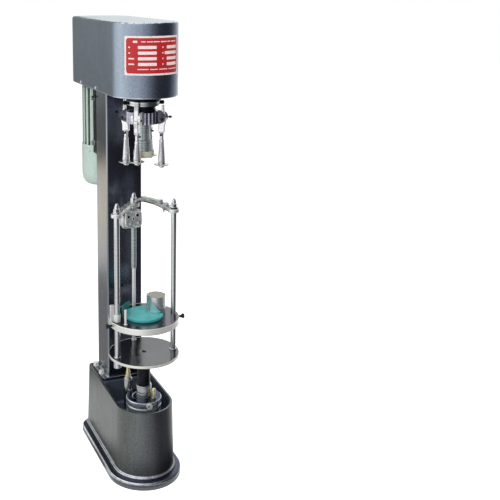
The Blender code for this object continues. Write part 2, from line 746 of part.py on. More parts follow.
def column(frame, finish):
    """Box section welded to its foot plate on the deck, up to the head plate, with its bolts and screws."""
    low = DECK_HEIGHT + SEAT_GAP
    bm = prism(column_outline(), low, HEAD_BOTTOM - SEAT_GAP, holes=[column_outline(COLUMN_WALL)])
    post = finish_object("column", bm, finish, frame)
    half = COLUMN_WIDTH / 2 + FOOT_PLATE_SIDE_MARGIN
    front = COLUMN_FRONT - FOOT_PLATE_MARGIN
    outline = rounded_box(-half, half, front, FOOT_PLATE_REAR, FOOT_PLATE_CORNER)
    fuse(post, "foot_plate_join", prism(outline, low, low + FOOT_PLATE_HEIGHT))
    bolt_x = COLUMN_WIDTH / 2 + FOOT_BOLT_INSET
    bolt_z = low + FOOT_PLATE_HEIGHT - JOIN_DEPTH
    for side in (-1, 1):
        for setback in FOOT_BOLT_SETBACKS:
            bolt = laid(hex_bolt(), (side * bolt_x, COLUMN_FRONT + setback, bolt_z), (0.0, 0.0, 1.0))
            fuse(post, f"foot_bolt_join_{side + 1}_{round(1000 * setback)}", bolt)
    for x, z in COLUMN_SCREW_PLACES:
        head = cap_screw(COLUMN_SCREW_RADIUS, COLUMN_SCREW_HEIGHT)
        screw = laid(head, (x, COLUMN_FRONT + JOIN_DEPTH, z), (0.0, -1.0, 0.0))
        fuse(post, f"column_screw_join_{round(1000 * z)}", screw)


def head_outline(inset=0.0):
    """The head's plan, set in by a distance."""
    return long_round(HEAD_RADIUS - inset, HEAD_LENGTH - inset, HEAD_CORNER_RADIUS - inset)


def head_cover(frame, finish):
    """Deep drawn cover, open below, with a rounded top edge and the screws that hold it to the head plate."""
    steps = 4
    rings = [(HEAD_BOTTOM, head_outline())]
    for i in range(steps + 1):
        angle = math.pi / 2 * i / steps
        inset = HEAD_EDGE * (1 - math.cos(angle))
        rings.append((HEAD_TOP - HEAD_EDGE * (1 - math.sin(angle)), head_outline(inset)))
    cover = finish_object("head_cover", loft(rings), finish, frame)
    inside_edge = HEAD_EDGE - HEAD_WALL
    inside_top = HEAD_TOP - HEAD_WALL
    hollow = loft([
        (HEAD_BOTTOM - CUT_OVERRUN, head_outline(HEAD_WALL)),
        (inside_top - inside_edge, head_outline(HEAD_WALL)),
        (inside_top, head_outline(HEAD_WALL + inside_edge)),
    ])
    carve(cover, "cover_hollow_cut", hollow)
    plate_mid = HEAD_BOTTOM + HEAD_PLATE_THICKNESS / 2
    for side in (-1, 1):
        for y in COVER_SCREW_YS:
            at = (side * (HEAD_RADIUS - JOIN_DEPTH), y, plate_mid)
            screw = laid(cap_screw(COVER_SCREW_RADIUS, COVER_SCREW_HEIGHT), at, (side, 0.0, 0.0))
            fuse(cover, f"cover_screw_join_{side + 1}_{round(1000 * y)}", screw)


def head_plate(frame, finish):
    """Thick plate inside the foot of the cover, with holes for the bearing housing and the motor shaft."""
    outline = head_outline(HEAD_WALL + SEAT_GAP)
    housing_hole = circle((0.0, 0.0), HOUSING_RADIUS + SEAT_GAP, MID_SEGMENTS)
    shaft_hole = circle((0.0, MOTOR_Y), MOTOR_SHAFT_RADIUS + MOTOR_SHAFT_PASSAGE, SMALL_SEGMENTS)
    bm = prism(outline, HEAD_BOTTOM, HEAD_BOTTOM + HEAD_PLATE_THICKNESS, holes=[housing_hole, shaft_hole])
    finish_object("head_plate", bm, finish, frame)


def rating_plate(frame, finish):
    """Thin plate bent round the nose of the cover."""
    steps = 16
    inner = HEAD_RADIUS + SEAT_GAP
    start, end = PLATE_FROM_DEG - 90.0, PLATE_TO_DEG - 90.0
    outline = arc((0.0, 0.0), inner + PLATE_THICKNESS, start, end, steps)
    outline += arc((0.0, 0.0), inner, end, start, steps)
    finish_object("rating_plate", prism(outline, PLATE_BOTTOM, PLATE_BOTTOM + PLATE_HEIGHT), finish, frame)


def motor_outline():
    """Barrel with fins all round except where the feet stand."""
    foot_deg = math.degrees(math.asin(MOTOR_FOOT_HALF_WIDTH / MOTOR_FIN_RADIUS))
    half_fin = math.degrees(MOTOR_FIN_WIDTH / 2 / MOTOR_FIN_RADIUS)
    points = []
    for i in range(MOTOR_FIN_COUNT):
        angle = -90.0 + 360.0 * (i + 0.5) / MOTOR_FIN_COUNT
        off = angle + 90.0 if angle < 90.0 else angle - 270.0
        if abs(off) < foot_deg - FINLESS_MARGIN_DEG:
            continue
        for turn, radius in (
            (-half_fin, MOTOR_BARREL_RADIUS),
            (-half_fin, MOTOR_FIN_RADIUS),
            (half_fin, MOTOR_FIN_RADIUS),
            (half_fin, MOTOR_BARREL_RADIUS),
        ):
            a = math.radians(angle + turn)
            points.append((radius * math.cos(a), MOTOR_Y + radius * math.sin(a)))
    foot_rear = MOTOR_FOOT_FACE + MOTOR_FOOT_THICKNESS
    half = MOTOR_FOOT_HALF_WIDTH
    points += [(-half, foot_rear), (-half, MOTOR_FOOT_FACE), (half, MOTOR_FOOT_FACE), (half, foot_rear)]
    return points


def motor(frame, finish):
    """Finned body with its feet, and the end shield that closes it under the head plate."""
    hole_radius = MOTOR_SHAFT_RADIUS + RUN_GAP
    shaft_hole = circle((0.0, MOTOR_Y), hole_radius, SMALL_SEGMENTS)
    body = prism(motor_outline(), MOTOR_BODY_BOTTOM, MOTOR_BODY_TOP, holes=[shaft_hole])
    made = finish_object("motor_body", body, finish, frame)
    low = MOTOR_BODY_TOP - JOIN_DEPTH
    high = MOTOR_BODY_TOP + END_SHIELD_HEIGHT
    shield_radius = MOTOR_BARREL_RADIUS - JOIN_DEPTH
    shield = turned(
        [
            (hole_radius, low),
            (shield_radius, low),
            (shield_radius, MOTOR_BODY_TOP + END_SHIELD_SKIRT),
            (shield_radius - END_SHIELD_SLOPE, high),
            (hole_radius, high),
        ],
        (0.0, MOTOR_Y),
        MID_SEGMENTS,
    )
    fuse(made, "end_shield_join", shield)


def fan_cover(frame, finish):
    """Smooth cup over the fan with a large rounded edge and an air inlet in its end."""
    outer, wall, edge = FAN_COVER_RADIUS, FAN_COVER_WALL, FAN_COVER_EDGE
    top = MOTOR_BODY_BOTTOM - SEAT_GAP
    steps = 4
    profile = [(outer - wall, top), (outer, top)]
    for i in range(steps + 1):
        a = math.pi / 2 * i / steps
        profile.append((outer - edge * (1 - math.cos(a)), FAN_COVER_BOTTOM + edge * (1 - math.sin(a))))
    inner_edge = edge - wall
    profile.append((FAN_INLET_RADIUS, FAN_COVER_BOTTOM))
    profile.append((FAN_INLET_RADIUS, FAN_COVER_BOTTOM + wall))
    for i in range(steps, -1, -1):
        a = math.pi / 2 * i / steps
        profile.append((
            outer - wall - inner_edge * (1 - math.cos(a)),
            FAN_COVER_BOTTOM + wall + inner_edge * (1 - math.sin(a)),
        ))
    finish_object("fan_cover", turned(profile, (0.0, MOTOR_Y)), finish, frame)


def motor_bracket(frame, finish):
    """Channel between the column's rear face and the motor's feet, with a bolt head at each corner."""
    y0 = COLUMN_REAR + SEAT_GAP
    y1 = MOTOR_FOOT_FACE - SEAT_GAP
    half = COLUMN_WIDTH / 2
    t = BRACKET_THICKNESS
    lip = BRACKET_LIP
    outline = [
        (-half, y0), (half, y0), (half, y1), (half - lip, y1), (half - lip, y1 - t),
        (half - t, y1 - t), (half - t, y0 + t), (-half + t, y0 + t), (-half + t, y1 - t),
        (-half + lip, y1 - t), (-half + lip, y1), (-half, y1),
    ]
    channel = prism(outline, BRACKET_BOTTOM, BRACKET_BOTTOM + BRACKET_HEIGHT)
    bracket = finish_object("motor_bracket", channel, finish, frame)
    for side in (-1, 1):
        for rise in BRACKET_BOLT_RISES:
            at = (side * (half - JOIN_DEPTH), (y0 + y1) / 2, BRACKET_BOTTOM + rise)
            bolt = laid(hex_bolt(), at, (side, 0.0, 0.0))
            fuse(bracket, f"bracket_bolt_join_{side + 1}_{round(1000 * rise)}", bolt)


def terminal_box(frame, finish, gland_finish):
    """Box on the motor's right side with its lid, and an empty gland below it."""
    width, length, height = TERMINAL_BOX_SIZE
    x0 = MOTOR_FIN_RADIUS + SEAT_GAP
    x1 = x0 + width
    y0, y1 = MOTOR_Y - length / 2, MOTOR_Y + length / 2
    z0, z1 = TERMINAL_BOX_CENTRE_Z - height / 2, TERMINAL_BOX_CENTRE_Z + height / 2
    shell = prism(rounded_box(x0, x1, y0, y1, TERMINAL_BOX_CORNER), z0, z1)
    box = finish_object("terminal_box", shell, finish, frame)
    lip = TERMINAL_LID_LIP
    lid = rounded_box(x1 - JOIN_DEPTH, x1 + TERMINAL_LID_THICKNESS, y0 - lip, y1 + lip, TERMINAL_LID_CORNER)
    fuse(box, "terminal_lid_join", prism(lid, z0 - lip, z1 + lip))
    centre = ((x0 + x1) / 2, MOTOR_Y)
    low = z0 - SEAT_GAP - GLAND_LENGTH
    profile = [
        (GLAND_BORE, low), (GLAND_RADIUS - GLAND_NOSE_STEP, low), (GLAND_RADIUS, low + GLAND_NOSE_HEIGHT),
        (GLAND_RADIUS, low + GLAND_LENGTH), (GLAND_BORE, low + GLAND_LENGTH),
    ]
    finish_object("cable_gland", turned(profile, centre, SMALL_SEGMENTS), gland_finish, frame)


def bearing_housing(frame, finish):
    """Flanged housing bolted under the head plate, with a seat for each bearing and a ring between them."""
    bore = BEARING_OUTER_RADIUS + SEAT_GAP
    waist = bore - HOUSING_WAIST_STEP
    top = HEAD_BOTTOM - SEAT_GAP
    lower_top = LOWER_BEARING_BOTTOM + BEARING_WIDTH + SEAT_GAP
    upper_low = UPPER_BEARING_BOTTOM - SEAT_GAP
    lip = SHAFT_RADIUS + HOUSING_LIP_CLEARANCE
    profile = [
        (lip, HOUSING_FLANGE_BOTTOM),
        (HOUSING_FLANGE_RADIUS, HOUSING_FLANGE_BOTTOM),
        (HOUSING_FLANGE_RADIUS, top),
        (HOUSING_RADIUS, top),
        (HOUSING_RADIUS, HOUSING_TOP),
        (bore, HOUSING_TOP),
        (bore, upper_low),
        (waist, upper_low),
        (waist, lower_top),
        (bore, lower_top),
        (bore, LOWER_BEARING_BOTTOM - SEAT_GAP),
        (lip, LOWER_BEARING_BOTTOM - SEAT_GAP),
    ]
    housing = finish_object("bearing_housing", turned(profile), finish, frame)
    for i in range(HOUSING_SCREW_COUNT):
        a = math.tau * (i + 0.5) / HOUSING_SCREW_COUNT
        at = (HOUSING_SCREW_CIRCLE * math.cos(a), HOUSING_SCREW_CIRCLE * math.sin(a),
              HOUSING_FLANGE_BOTTOM + JOIN_DEPTH)
        screw = laid(cap_screw(HOUSING_SCREW_RADIUS, HOUSING_SCREW_HEIGHT), at, (0.0, 0.0, -1.0))
        fuse(housing, f"housing_screw_join_{i + 1}", screw)


def bearings(frame, finish):
    """Two sealed bearings, one in each seat of the housing."""
    bore = JOURNAL_RADIUS + SEAT_GAP
    for name, low in (("lower_bearing", LOWER_BEARING_BOTTOM), ("upper_bearing", UPPER_BEARING_BOTTOM)):
        finish_object(name, ring(bore, BEARING_OUTER_RADIUS, low, low + BEARING_WIDTH), finish, frame)


def spindle_shaft(spindle, finish):
    """Hollow spindle: journals above, a guide block below, and a blind bore for the pad's stem."""
    profile = [
        (0.0, SHAFT_TOP),
        (JOURNAL_RADIUS - SHAFT_EDGE, SHAFT_TOP),
        (JOURNAL_RADIUS, SHAFT_TOP - SHAFT_EDGE),
        (JOURNAL_RADIUS, SHAFT_SHOULDER),
        (SHAFT_RADIUS, SHAFT_SHOULDER),
        (SHAFT_RADIUS, GUIDE_BLOCK_TOP),
        (GUIDE_BLOCK_RADIUS - GUIDE_BLOCK_EDGE, GUIDE_BLOCK_TOP),
        (GUIDE_BLOCK_RADIUS, GUIDE_BLOCK_TOP - GUIDE_BLOCK_EDGE),
        (GUIDE_BLOCK_RADIUS, GUIDE_BLOCK_BOTTOM),
        (SPINDLE_BORE_RADIUS, GUIDE_BLOCK_BOTTOM),
        (SPINDLE_BORE_RADIUS, SPINDLE_BORE_TOP),
        (0.0, SPINDLE_BORE_TOP),
    ]
    finish_object("spindle_shaft", turned(profile, closed=False), finish, spindle)


def grooved_pulley(radius, bore, low):
    """A pulley rim with one wedge groove, a web and a hub."""
    mid = low + PULLEY_WIDTH / 2
    high = low + PULLEY_WIDTH
    root = radius - GROOVE_DEPTH
    return [
        (bore, low),
        (radius, low),
        (radius, mid - GROOVE_TOP_WIDTH / 2),
        (root, mid - GROOVE_ROOT_WIDTH / 2),
        (root, mid + GROOVE_ROOT_WIDTH / 2),
        (radius, mid + GROOVE_TOP_WIDTH / 2),
        (radius, high),
        (bore, high),
    ]


def pulleys(spindle, rotor, finish):
    """Large pulley on the spindle and small pulley on the motor shaft, in one plane."""
    big = grooved_pulley(SPINDLE_PULLEY_RADIUS, JOURNAL_RADIUS + SEAT_GAP, PULLEY_BOTTOM)
    rim_inside = SPINDLE_PULLEY_RADIUS - GROOVE_DEPTH - PULLEY_RIM_THICKNESS
    hub_outside = JOURNAL_RADIUS + PULLEY_HUB_WALL
    high = PULLEY_BOTTOM + PULLEY_WIDTH
    web_top = high - PULLEY_DISH
    web = [
        (rim_inside, high),
        (rim_inside - PULLEY_RIM_DRAFT, web_top),
        (hub_outside, web_top),
        (hub_outside, high),
    ]
    big = big[:-1] + web + big[-1:]
    finish_object("spindle_pulley", turned(big, segments=MID_SEGMENTS), finish, spindle)
    small = grooved_pulley(MOTOR_PULLEY_RADIUS, MOTOR_SHAFT_RADIUS + SEAT_GAP, PULLEY_BOTTOM)
    finish_object("motor_pulley", turned(small, (0.0, MOTOR_Y)), finish, rotor)


def belt_outline(offset):
    """The belt's line round both pulleys, tangent to each, at a distance from the groove roots."""
    r1 = SPINDLE_PULLEY_RADIUS - GROOVE_DEPTH + offset
    r2 = MOTOR_PULLEY_RADIUS - GROOVE_DEPTH + offset
    lean = math.degrees(math.asin((r1 - r2) / MOTOR_Y))
    points = arc((0.0, 0.0), r1, 180.0 - lean, 360.0 + lean, 20)
    points += arc((0.0, MOTOR_Y), r2, lean, 180.0 - lean, 10)
    return points


def drive_belt(frame, finish):
    """Wedge belt in the plane of the grooves, wide outside and narrow inside."""
    mid = PULLEY_BOTTOM + PULLEY_WIDTH / 2
    low, high = BELT_ROOT_GAP, BELT_ROOT_GAP + BELT_THICKNESS
    inner, outer = belt_outline(low), belt_outline(high)
    flank = (GROOVE_TOP_WIDTH - GROOVE_ROOT_WIDTH) / 2 / GROOVE_DEPTH
    half_in = GROOVE_ROOT_WIDTH / 2 + flank * low - BELT_FLANK_GAP
    half_out = GROOVE_ROOT_WIDTH / 2 + flank * high - BELT_FLANK_GAP
    bm = bmesh.new()
    corners = ((inner, -half_in), (outer, -half_out), (outer, half_out), (inner, half_in))
    rows = [[bm.verts.new((x, y, mid + dz)) for x, y in line] for line, dz in corners]
    count = len(rows[0])
    for k in range(4):
        a, b = rows[k], rows[(k + 1) % 4]
        for i in range(count):
            j = (i + 1) % count
            bm.faces.new((a[i], a[j], b[j], b[i]))
    finish_object("drive_belt", bm, finish, frame)


def rotor_parts(rotor, finish, fan_finish):
    """Motor shaft from the fan to its pulley, and the cooling fan."""
    low = FAN_COVER_BOTTOM + MOTOR_SHAFT_RISE
    high = PULLEY_BOTTOM + PULLEY_WIDTH + MOTOR_SHAFT_END
    finish_object("motor_shaft", pin(MOTOR_SHAFT_RADIUS, low, high, (0.0, MOTOR_Y)), finish, rotor)
    hub_low = FAN_COVER_BOTTOM + FAN_HUB_RISE
    hub_high = hub_low + FAN_HUB_HEIGHT
    bore = MOTOR_SHAFT_RADIUS + SEAT_GAP
    hub = ring(bore, FAN_HUB_RADIUS, hub_low, hub_high, (0.0, MOTOR_Y), SMALL_SEGMENTS)
    fan = finish_object("cooling_fan", hub, fan_finish, rotor)
    root = FAN_HUB_RADIUS - FAN_BLADE_ROOT
    blade_low, blade_high = hub_low + FAN_BLADE_INSET, hub_high - FAN_BLADE_INSET
    tip = FAN_BLADE_REACH
    outline = [(root, blade_low), (tip, blade_low), (tip, blade_high), (root, blade_high)]
    for i in range(FAN_BLADE_COUNT):
        blade = side_prism(outline, FAN_BLADE_THICKNESS / 2, 360.0 * i / FAN_BLADE_COUNT)
        bmesh.ops.translate(blade, verts=blade.verts, vec=(0.0, MOTOR_Y, 0.0))
        fuse(fan, f"fan_blade_join_{i}", blade)


def hub_outline():
    """Fluted round hub with a pair of ears for each arm."""
    half_gap = ARM_THICKNESS / 2 + RUN_GAP
    ear_out = half_gap + EAR_THICKNESS
    base = HUB_RADIUS - EAR_ROOT
    points = []
    for arm_deg in ARM_ANGLES_DEG:
        turn = math.radians(arm_deg)
        along = Vector((math.cos(turn), math.sin(turn)))
        across = Vector((-math.sin(turn), math.cos(turn)))
        for side in (-ear_out, -half_gap, half_gap, ear_out):
            reach = (base, EAR_REACH) if side in (-ear_out, half_gap) else (EAR_REACH, base)
            for distance in reach:
                spot = along * distance + across * side
                points.append((spot.x, spot.y))
        edge_deg = math.degrees(math.asin(ear_out / HUB_RADIUS))
        start = arm_deg + edge_deg + HUB_FLUTE_MARGIN_DEG
        span = 90.0 - 2 * (edge_deg + HUB_FLUTE_MARGIN_DEG)
        steps = 2 * FLUTES_PER_QUARTER
        for i in range(steps + 1):
            radius = HUB_RADIUS - (HUB_FLUTE_DEPTH if i % 2 else 0.0)
            a = math.radians(start + span * i / steps)
            points.append((radius * math.cos(a), radius * math.sin(a)))
    return points


def capping_hub(spindle, finish):
    """Fluted hub on the spindle, with a pin pressed through each pair of clevis ears, headed outside them."""
    hole = circle((0.0, 0.0), SHAFT_RADIUS + SEAT_GAP, MID_SEGMENTS)
    body = prism(hub_outline(), HUB_BOTTOM, HUB_TOP, holes=[hole])
    hub = finish_object("capping_hub", body, finish, spindle)
    reach = ARM_THICKNESS / 2 + RUN_GAP + EAR_THICKNESS
    head = ARM_PIN_RADIUS + ARM_PIN_HEAD_STEP
    end = reach + ARM_PIN_PROUD
    profile = [
        (0.0, -end), (head, -end), (head, -reach + JOIN_DEPTH),
        (ARM_PIN_RADIUS, -reach + JOIN_DEPTH), (ARM_PIN_RADIUS, end), (0.0, end),
    ]
    for i, arm_deg in enumerate(ARM_ANGLES_DEG):
        arm_pin = turned(profile, segments=TINY_SEGMENTS, closed=False)
        fuse(hub, f"arm_pin_join_{i + 1}", across_arm(arm_pin, arm_deg))


def across_arm(bm, arm_deg):
    """Lay a mesh made along +Z through an arm's hinge, across the arm's own plane."""
    turn = math.radians(arm_deg)
    at = (ARM_PIN_CIRCLE * math.cos(turn), ARM_PIN_CIRCLE * math.sin(turn), ARM_PIN_HEIGHT)
    return laid(bm, at, (-math.sin(turn), math.cos(turn), 0.0))


def spindle_rings(spindle, steel, black):
    """Clamp ring with its two screws, and the dark sleeve between ring and hub."""
    bore = SHAFT_RADIUS + SEAT_GAP
    edge = CLAMP_RING_EDGE
    profile = [
        (bore, CLAMP_RING_BOTTOM),
        (CLAMP_RING_RADIUS - edge, CLAMP_RING_BOTTOM),
        (CLAMP_RING_RADIUS, CLAMP_RING_BOTTOM + edge),
        (CLAMP_RING_RADIUS, CLAMP_RING_TOP - edge),
        (CLAMP_RING_RADIUS - edge, CLAMP_RING_TOP),
        (bore, CLAMP_RING_TOP),
    ]
    clamp = finish_object("clamp_ring", turned(profile), steel, spindle)
    sleeve = ring(bore, SLEEVE_RADIUS, HUB_TOP + SEAT_GAP, CLAMP_RING_BOTTOM - SEAT_GAP)
    finish_object("spindle_sleeve", sleeve, black, spindle)
    mid = (CLAMP_RING_BOTTOM + CLAMP_RING_TOP) / 2
    for deg in RING_SCREW_DEGS:
        a = math.radians(deg)
        start = CLAMP_RING_RADIUS - 2 * JOIN_DEPTH
        length = RING_SCREW_REACH - start
        neck = length * RING_SCREW_NECK_SHARE
        profile = [
            (0.0, 0.0), (RING_SCREW_NECK_RADIUS, 0.0), (RING_SCREW_NECK_RADIUS, neck),
            (RING_SCREW_RADIUS, neck), (RING_SCREW_RADIUS, length), (0.0, length),
        ]
        at = (start * math.cos(a), start * math.sin(a), mid)
        shape = turned(profile, segments=TINY_SEGMENTS, closed=False)
        fuse(clamp, f"ring_screw_join_{round(deg)}", laid(shape, at, (math.cos(a), math.sin(a), 0.0)))


def pressure_pad(pad, spindle, nylon, steel):
    """Nylon cup under the guide block, its stem in the spindle's bore, and the spring above the stem."""
    wall_inside = GUIDE_BLOCK_RADIUS + RUN_GAP
    floor_top = PAD_BOTTOM + PAD_FLOOR
    stem_bore = STEM_RADIUS + SEAT_GAP
    edge = PAD_EDGE
    profile = [
        (stem_bore, PAD_BOTTOM),
        (PAD_RADIUS - edge, PAD_BOTTOM),
        (PAD_RADIUS, PAD_BOTTOM + edge),
        (PAD_RADIUS, PAD_TOP),
        (wall_inside, PAD_TOP),
        (wall_inside, floor_top),
        (stem_bore, floor_top),
    ]
    finish_object("pressure_pad", turned(profile), nylon, pad)
    finish_object("pad_stem", pin(STEM_RADIUS, PAD_BOTTOM, STEM_TOP), steel, pad)
    low, high = STEM_TOP + SEAT_GAP, SPINDLE_BORE_TOP - SEAT_GAP
    finish_object("pad_spring", coil(low, high), steel, spindle)


def coil(low, high):
    """A round-wire spring between two heights, following a helix."""
    per_turn, sides = SPRING_STEPS_PER_TURN, SPRING_WIRE_SIDES
    radius = SPINDLE_BORE_RADIUS - RUN_GAP - SPRING_WIRE
    steps = SPRING_TURNS * per_turn
    rise = high - low - 2 * SPRING_WIRE
    bm = bmesh.new()
    rows = []
    for i in range(steps + 1):
        a = math.tau * i / per_turn
        out = Vector((math.cos(a), math.sin(a), 0.0))
        centre = out * radius + Vector((0.0, 0.0, low + SPRING_WIRE + rise * i / steps))
        row = []
        for k in range(sides):
            b = math.tau * k / sides
            around = math.cos(b) * out + math.sin(b) * Vector((0.0, 0.0, 1.0))
            row.append(bm.verts.new(centre + SPRING_WIRE * around))
        rows.append(row)
    for a, b in zip(rows, rows[1:]):
        for k in range(sides):
            m = (k + 1) % sides
            bm.faces.new((a[k], a[m], b[m], b[k]))
    bm.faces.new(rows[0])
    bm.faces.new(rows[-1])
    return bm


def arm_side_outline():
    """Side view of an arm's upper link, from its eye down to its block."""
    eye = (ARM_PIN_CIRCLE, ARM_PIN_HEIGHT)
    inner = ARM_CIRCLE - ARM_BLOCK_HALF_WIDTH
    outer = ARM_CIRCLE + ARM_BLOCK_HALF_WIDTH
    points = arc(eye, ARM_EYE_RADIUS, -10.0, 170.0, 8)
    points += [
        (eye[0] - ARM_EYE_RADIUS, HUB_BOTTOM - ARM_STEP),
        (inner + ARM_STEP, ARM_BLOCK_TOP),
        (inner, ARM_BLOCK_TOP - ARM_STEP),
        (inner, ARM_BLOCK_BOTTOM),
        (outer, ARM_BLOCK_BOTTOM),
        (outer, ARM_BLOCK_TOP),
    ]
    return points


def arm_stalk_profile(roller_bottom):
    """Turned lower part of an arm: a waist, the roller holder, and the headed axle under it."""
    bottom = roller_bottom + ROLLER_WIDTH + RUN_GAP / 2
    head_top = roller_bottom - RUN_GAP / 2
    head_low = head_top - AXLE_HEAD_HEIGHT
    return [
        (0.0, head_low),
        (AXLE_HEAD_RADIUS - AXLE_HEAD_EDGE, head_low),
        (AXLE_HEAD_RADIUS, head_low + AXLE_HEAD_EDGE),
        (AXLE_HEAD_RADIUS, head_top),
        (AXLE_RADIUS, head_top),
        (AXLE_RADIUS, bottom),
        (HOLDER_RADIUS - HOLDER_CHAMFER, bottom),
        (HOLDER_RADIUS, bottom + HOLDER_CHAMFER),
        (HOLDER_RADIUS - HOLDER_STEP, ARM_NECK_BOTTOM - ARM_SHOULDER_TAPER),
        (ARM_NECK_RADIUS, ARM_NECK_BOTTOM),
        (ARM_NECK_RADIUS, ARM_NECK_TOP),
        (HOLDER_RADIUS - HOLDER_STEP, ARM_BLOCK_BOTTOM - HOLDER_STEP / 2),
        (HOLDER_RADIUS - HOLDER_STEP, ARM_BLOCK_BOTTOM + ARM_STEM_OVERLAP),
        (0.0, ARM_BLOCK_BOTTOM + ARM_STEM_OVERLAP),
    ]


def capping_arms(spindle, steel, bright):
    """Four hinged arms, each with a roller on its axle. Opposite rollers run at one height."""
    for i, arm_deg in enumerate(ARM_ANGLES_DEG):
        number = i + 1
        turn = math.radians(arm_deg)
        roller_bottom = HUB_BOTTOM - ROLLER_DROPS[i % 2]
        hinge_at = (ARM_PIN_CIRCLE * math.cos(turn), ARM_PIN_CIRCLE * math.sin(turn), ARM_PIN_HEIGHT)
        hinge = empty(f"arm_{number}_hinge", hinge_at, spindle)
        foot = (ARM_CIRCLE * math.cos(turn), ARM_CIRCLE * math.sin(turn))
        link = side_prism(arm_side_outline(), ARM_THICKNESS / 2, arm_deg)
        arm = finish_object(f"arm_{number}", link, steel, hinge)
        stalk = turned(arm_stalk_profile(roller_bottom), foot, SMALL_SEGMENTS, closed=False)
        fuse(arm, f"arm_{number}_stalk_join", stalk)
        drill = pin(ARM_PIN_RADIUS + RUN_GAP, -ARM_THICKNESS, ARM_THICKNESS, segments=TINY_SEGMENTS)
        carve(arm, f"arm_{number}_drill", across_arm(drill, arm_deg))
        axle_at = (foot[0], foot[1], roller_bottom)
        axle_end = empty(f"roller_{number}_axis", axle_at, hinge)
        finish_object(f"roller_{number}", roller(roller_bottom, foot), bright, axle_end)


def roller(bottom, centre):
    """Hardened disc with a thin rim that forms the cap, on a wider boss."""
    bore = AXLE_RADIUS + RUN_GAP / 2
    mid = bottom + ROLLER_WIDTH / 2
    half = ROLLER_RIM_WIDTH / 2
    profile = [
        (bore, bottom),
        (ROLLER_BOSS_RADIUS, bottom),
        (ROLLER_BOSS_RADIUS, mid - half),
        (ROLLER_RADIUS - ROLLER_BEVEL, mid - half),
        (ROLLER_RADIUS, mid),
        (ROLLER_RADIUS - ROLLER_BEVEL, mid + half),
        (ROLLER_BOSS_RADIUS, mid + half),
        (ROLLER_BOSS_RADIUS, bottom + ROLLER_WIDTH),
        (bore, bottom + ROLLER_WIDTH),
    ]
    return turned(profile, centre, ROLLER_SEGMENTS)


def lift_guide(frame, cast, steel, chrome):
    """Guide housing on the bowl's floor, the three-step collar above it, and the bush of the lift shaft."""
    bush_bore = LIFT_SHAFT_RADIUS + RUN_GAP
    housing_bore = BUSH_RADIUS + SEAT_GAP
    low = BOWL_FLOOR + SEAT_GAP
    profile = [
        (housing_bore, low),
        (GUIDE_FOOT_RADIUS, low),
        (GUIDE_FOOT_RADIUS, low + GUIDE_FOOT_HEIGHT - GUIDE_FOOT_EDGE),
        (GUIDE_FOOT_RADIUS - GUIDE_FOOT_EDGE, low + GUIDE_FOOT_HEIGHT),
        (GUIDE_BODY_RADIUS, low + GUIDE_FOOT_HEIGHT),
        (GUIDE_BODY_RADIUS, COLLAR_BOTTOM - SEAT_GAP),
        (housing_bore, COLLAR_BOTTOM - SEAT_GAP),
    ]
    finish_object("lift_guide_housing", turned(profile), cast, frame)
    layer = COLLAR_HEIGHT / COLLAR_LAYERS
    groove = COLLAR_GROOVE
    outline = [(housing_bore, COLLAR_BOTTOM)]
    for i in range(COLLAR_LAYERS):
        z = COLLAR_BOTTOM + layer * i
        outline += [
            (COLLAR_RADIUS - groove, z),
            (COLLAR_RADIUS, z + groove),
            (COLLAR_RADIUS, z + layer - groove),
            (COLLAR_RADIUS - groove, z + layer - COLLAR_LAYER_STEP * (i < COLLAR_LAYERS - 1)),
        ]
    outline.append((housing_bore, COLLAR_TOP))
    collar = finish_object("lift_collar", turned(outline), chrome, frame)
    left, right = COLLAR_SPLIT_X - COLLAR_SPLIT_WIDTH / 2, COLLAR_SPLIT_X + COLLAR_SPLIT_WIDTH / 2
    front, rear = -COLLAR_RADIUS - CUT_OVERRUN, -BUSH_RADIUS + COLLAR_SPLIT_WIDTH
    corners = [(left, front), (right, front), (right, rear), (left, rear)]
    split = prism(corners, COLLAR_BOTTOM - CUT_OVERRUN, COLLAR_TOP + CUT_OVERRUN)
    carve(collar, "collar_split_cut", split)
    a = math.radians(COLLAR_BOLT_DEG)
    outward = Vector((math.cos(a), math.sin(a), 0.0))
    bolt_at = outward * (COLLAR_RADIUS - COLLAR_BOLT_SEAT)
    bolt_at.z = COLLAR_BOTTOM + COLLAR_BOLT_RISE
    bolt = laid(cap_screw(COLLAR_BOLT_RADIUS, COLLAR_BOLT_LENGTH, SMALL_SEGMENTS), bolt_at, outward)
    fuse(collar, "collar_bolt_join", bolt)
    bush = turned([
        (bush_bore, low),
        (BUSH_RADIUS, low),
        (BUSH_RADIUS, BUSH_TOP - BUSH_EDGE),
        (BUSH_RADIUS - BUSH_EDGE, BUSH_TOP),
        (bush_bore, BUSH_TOP),
    ])
    finish_object("lift_bush", bush, steel, frame)


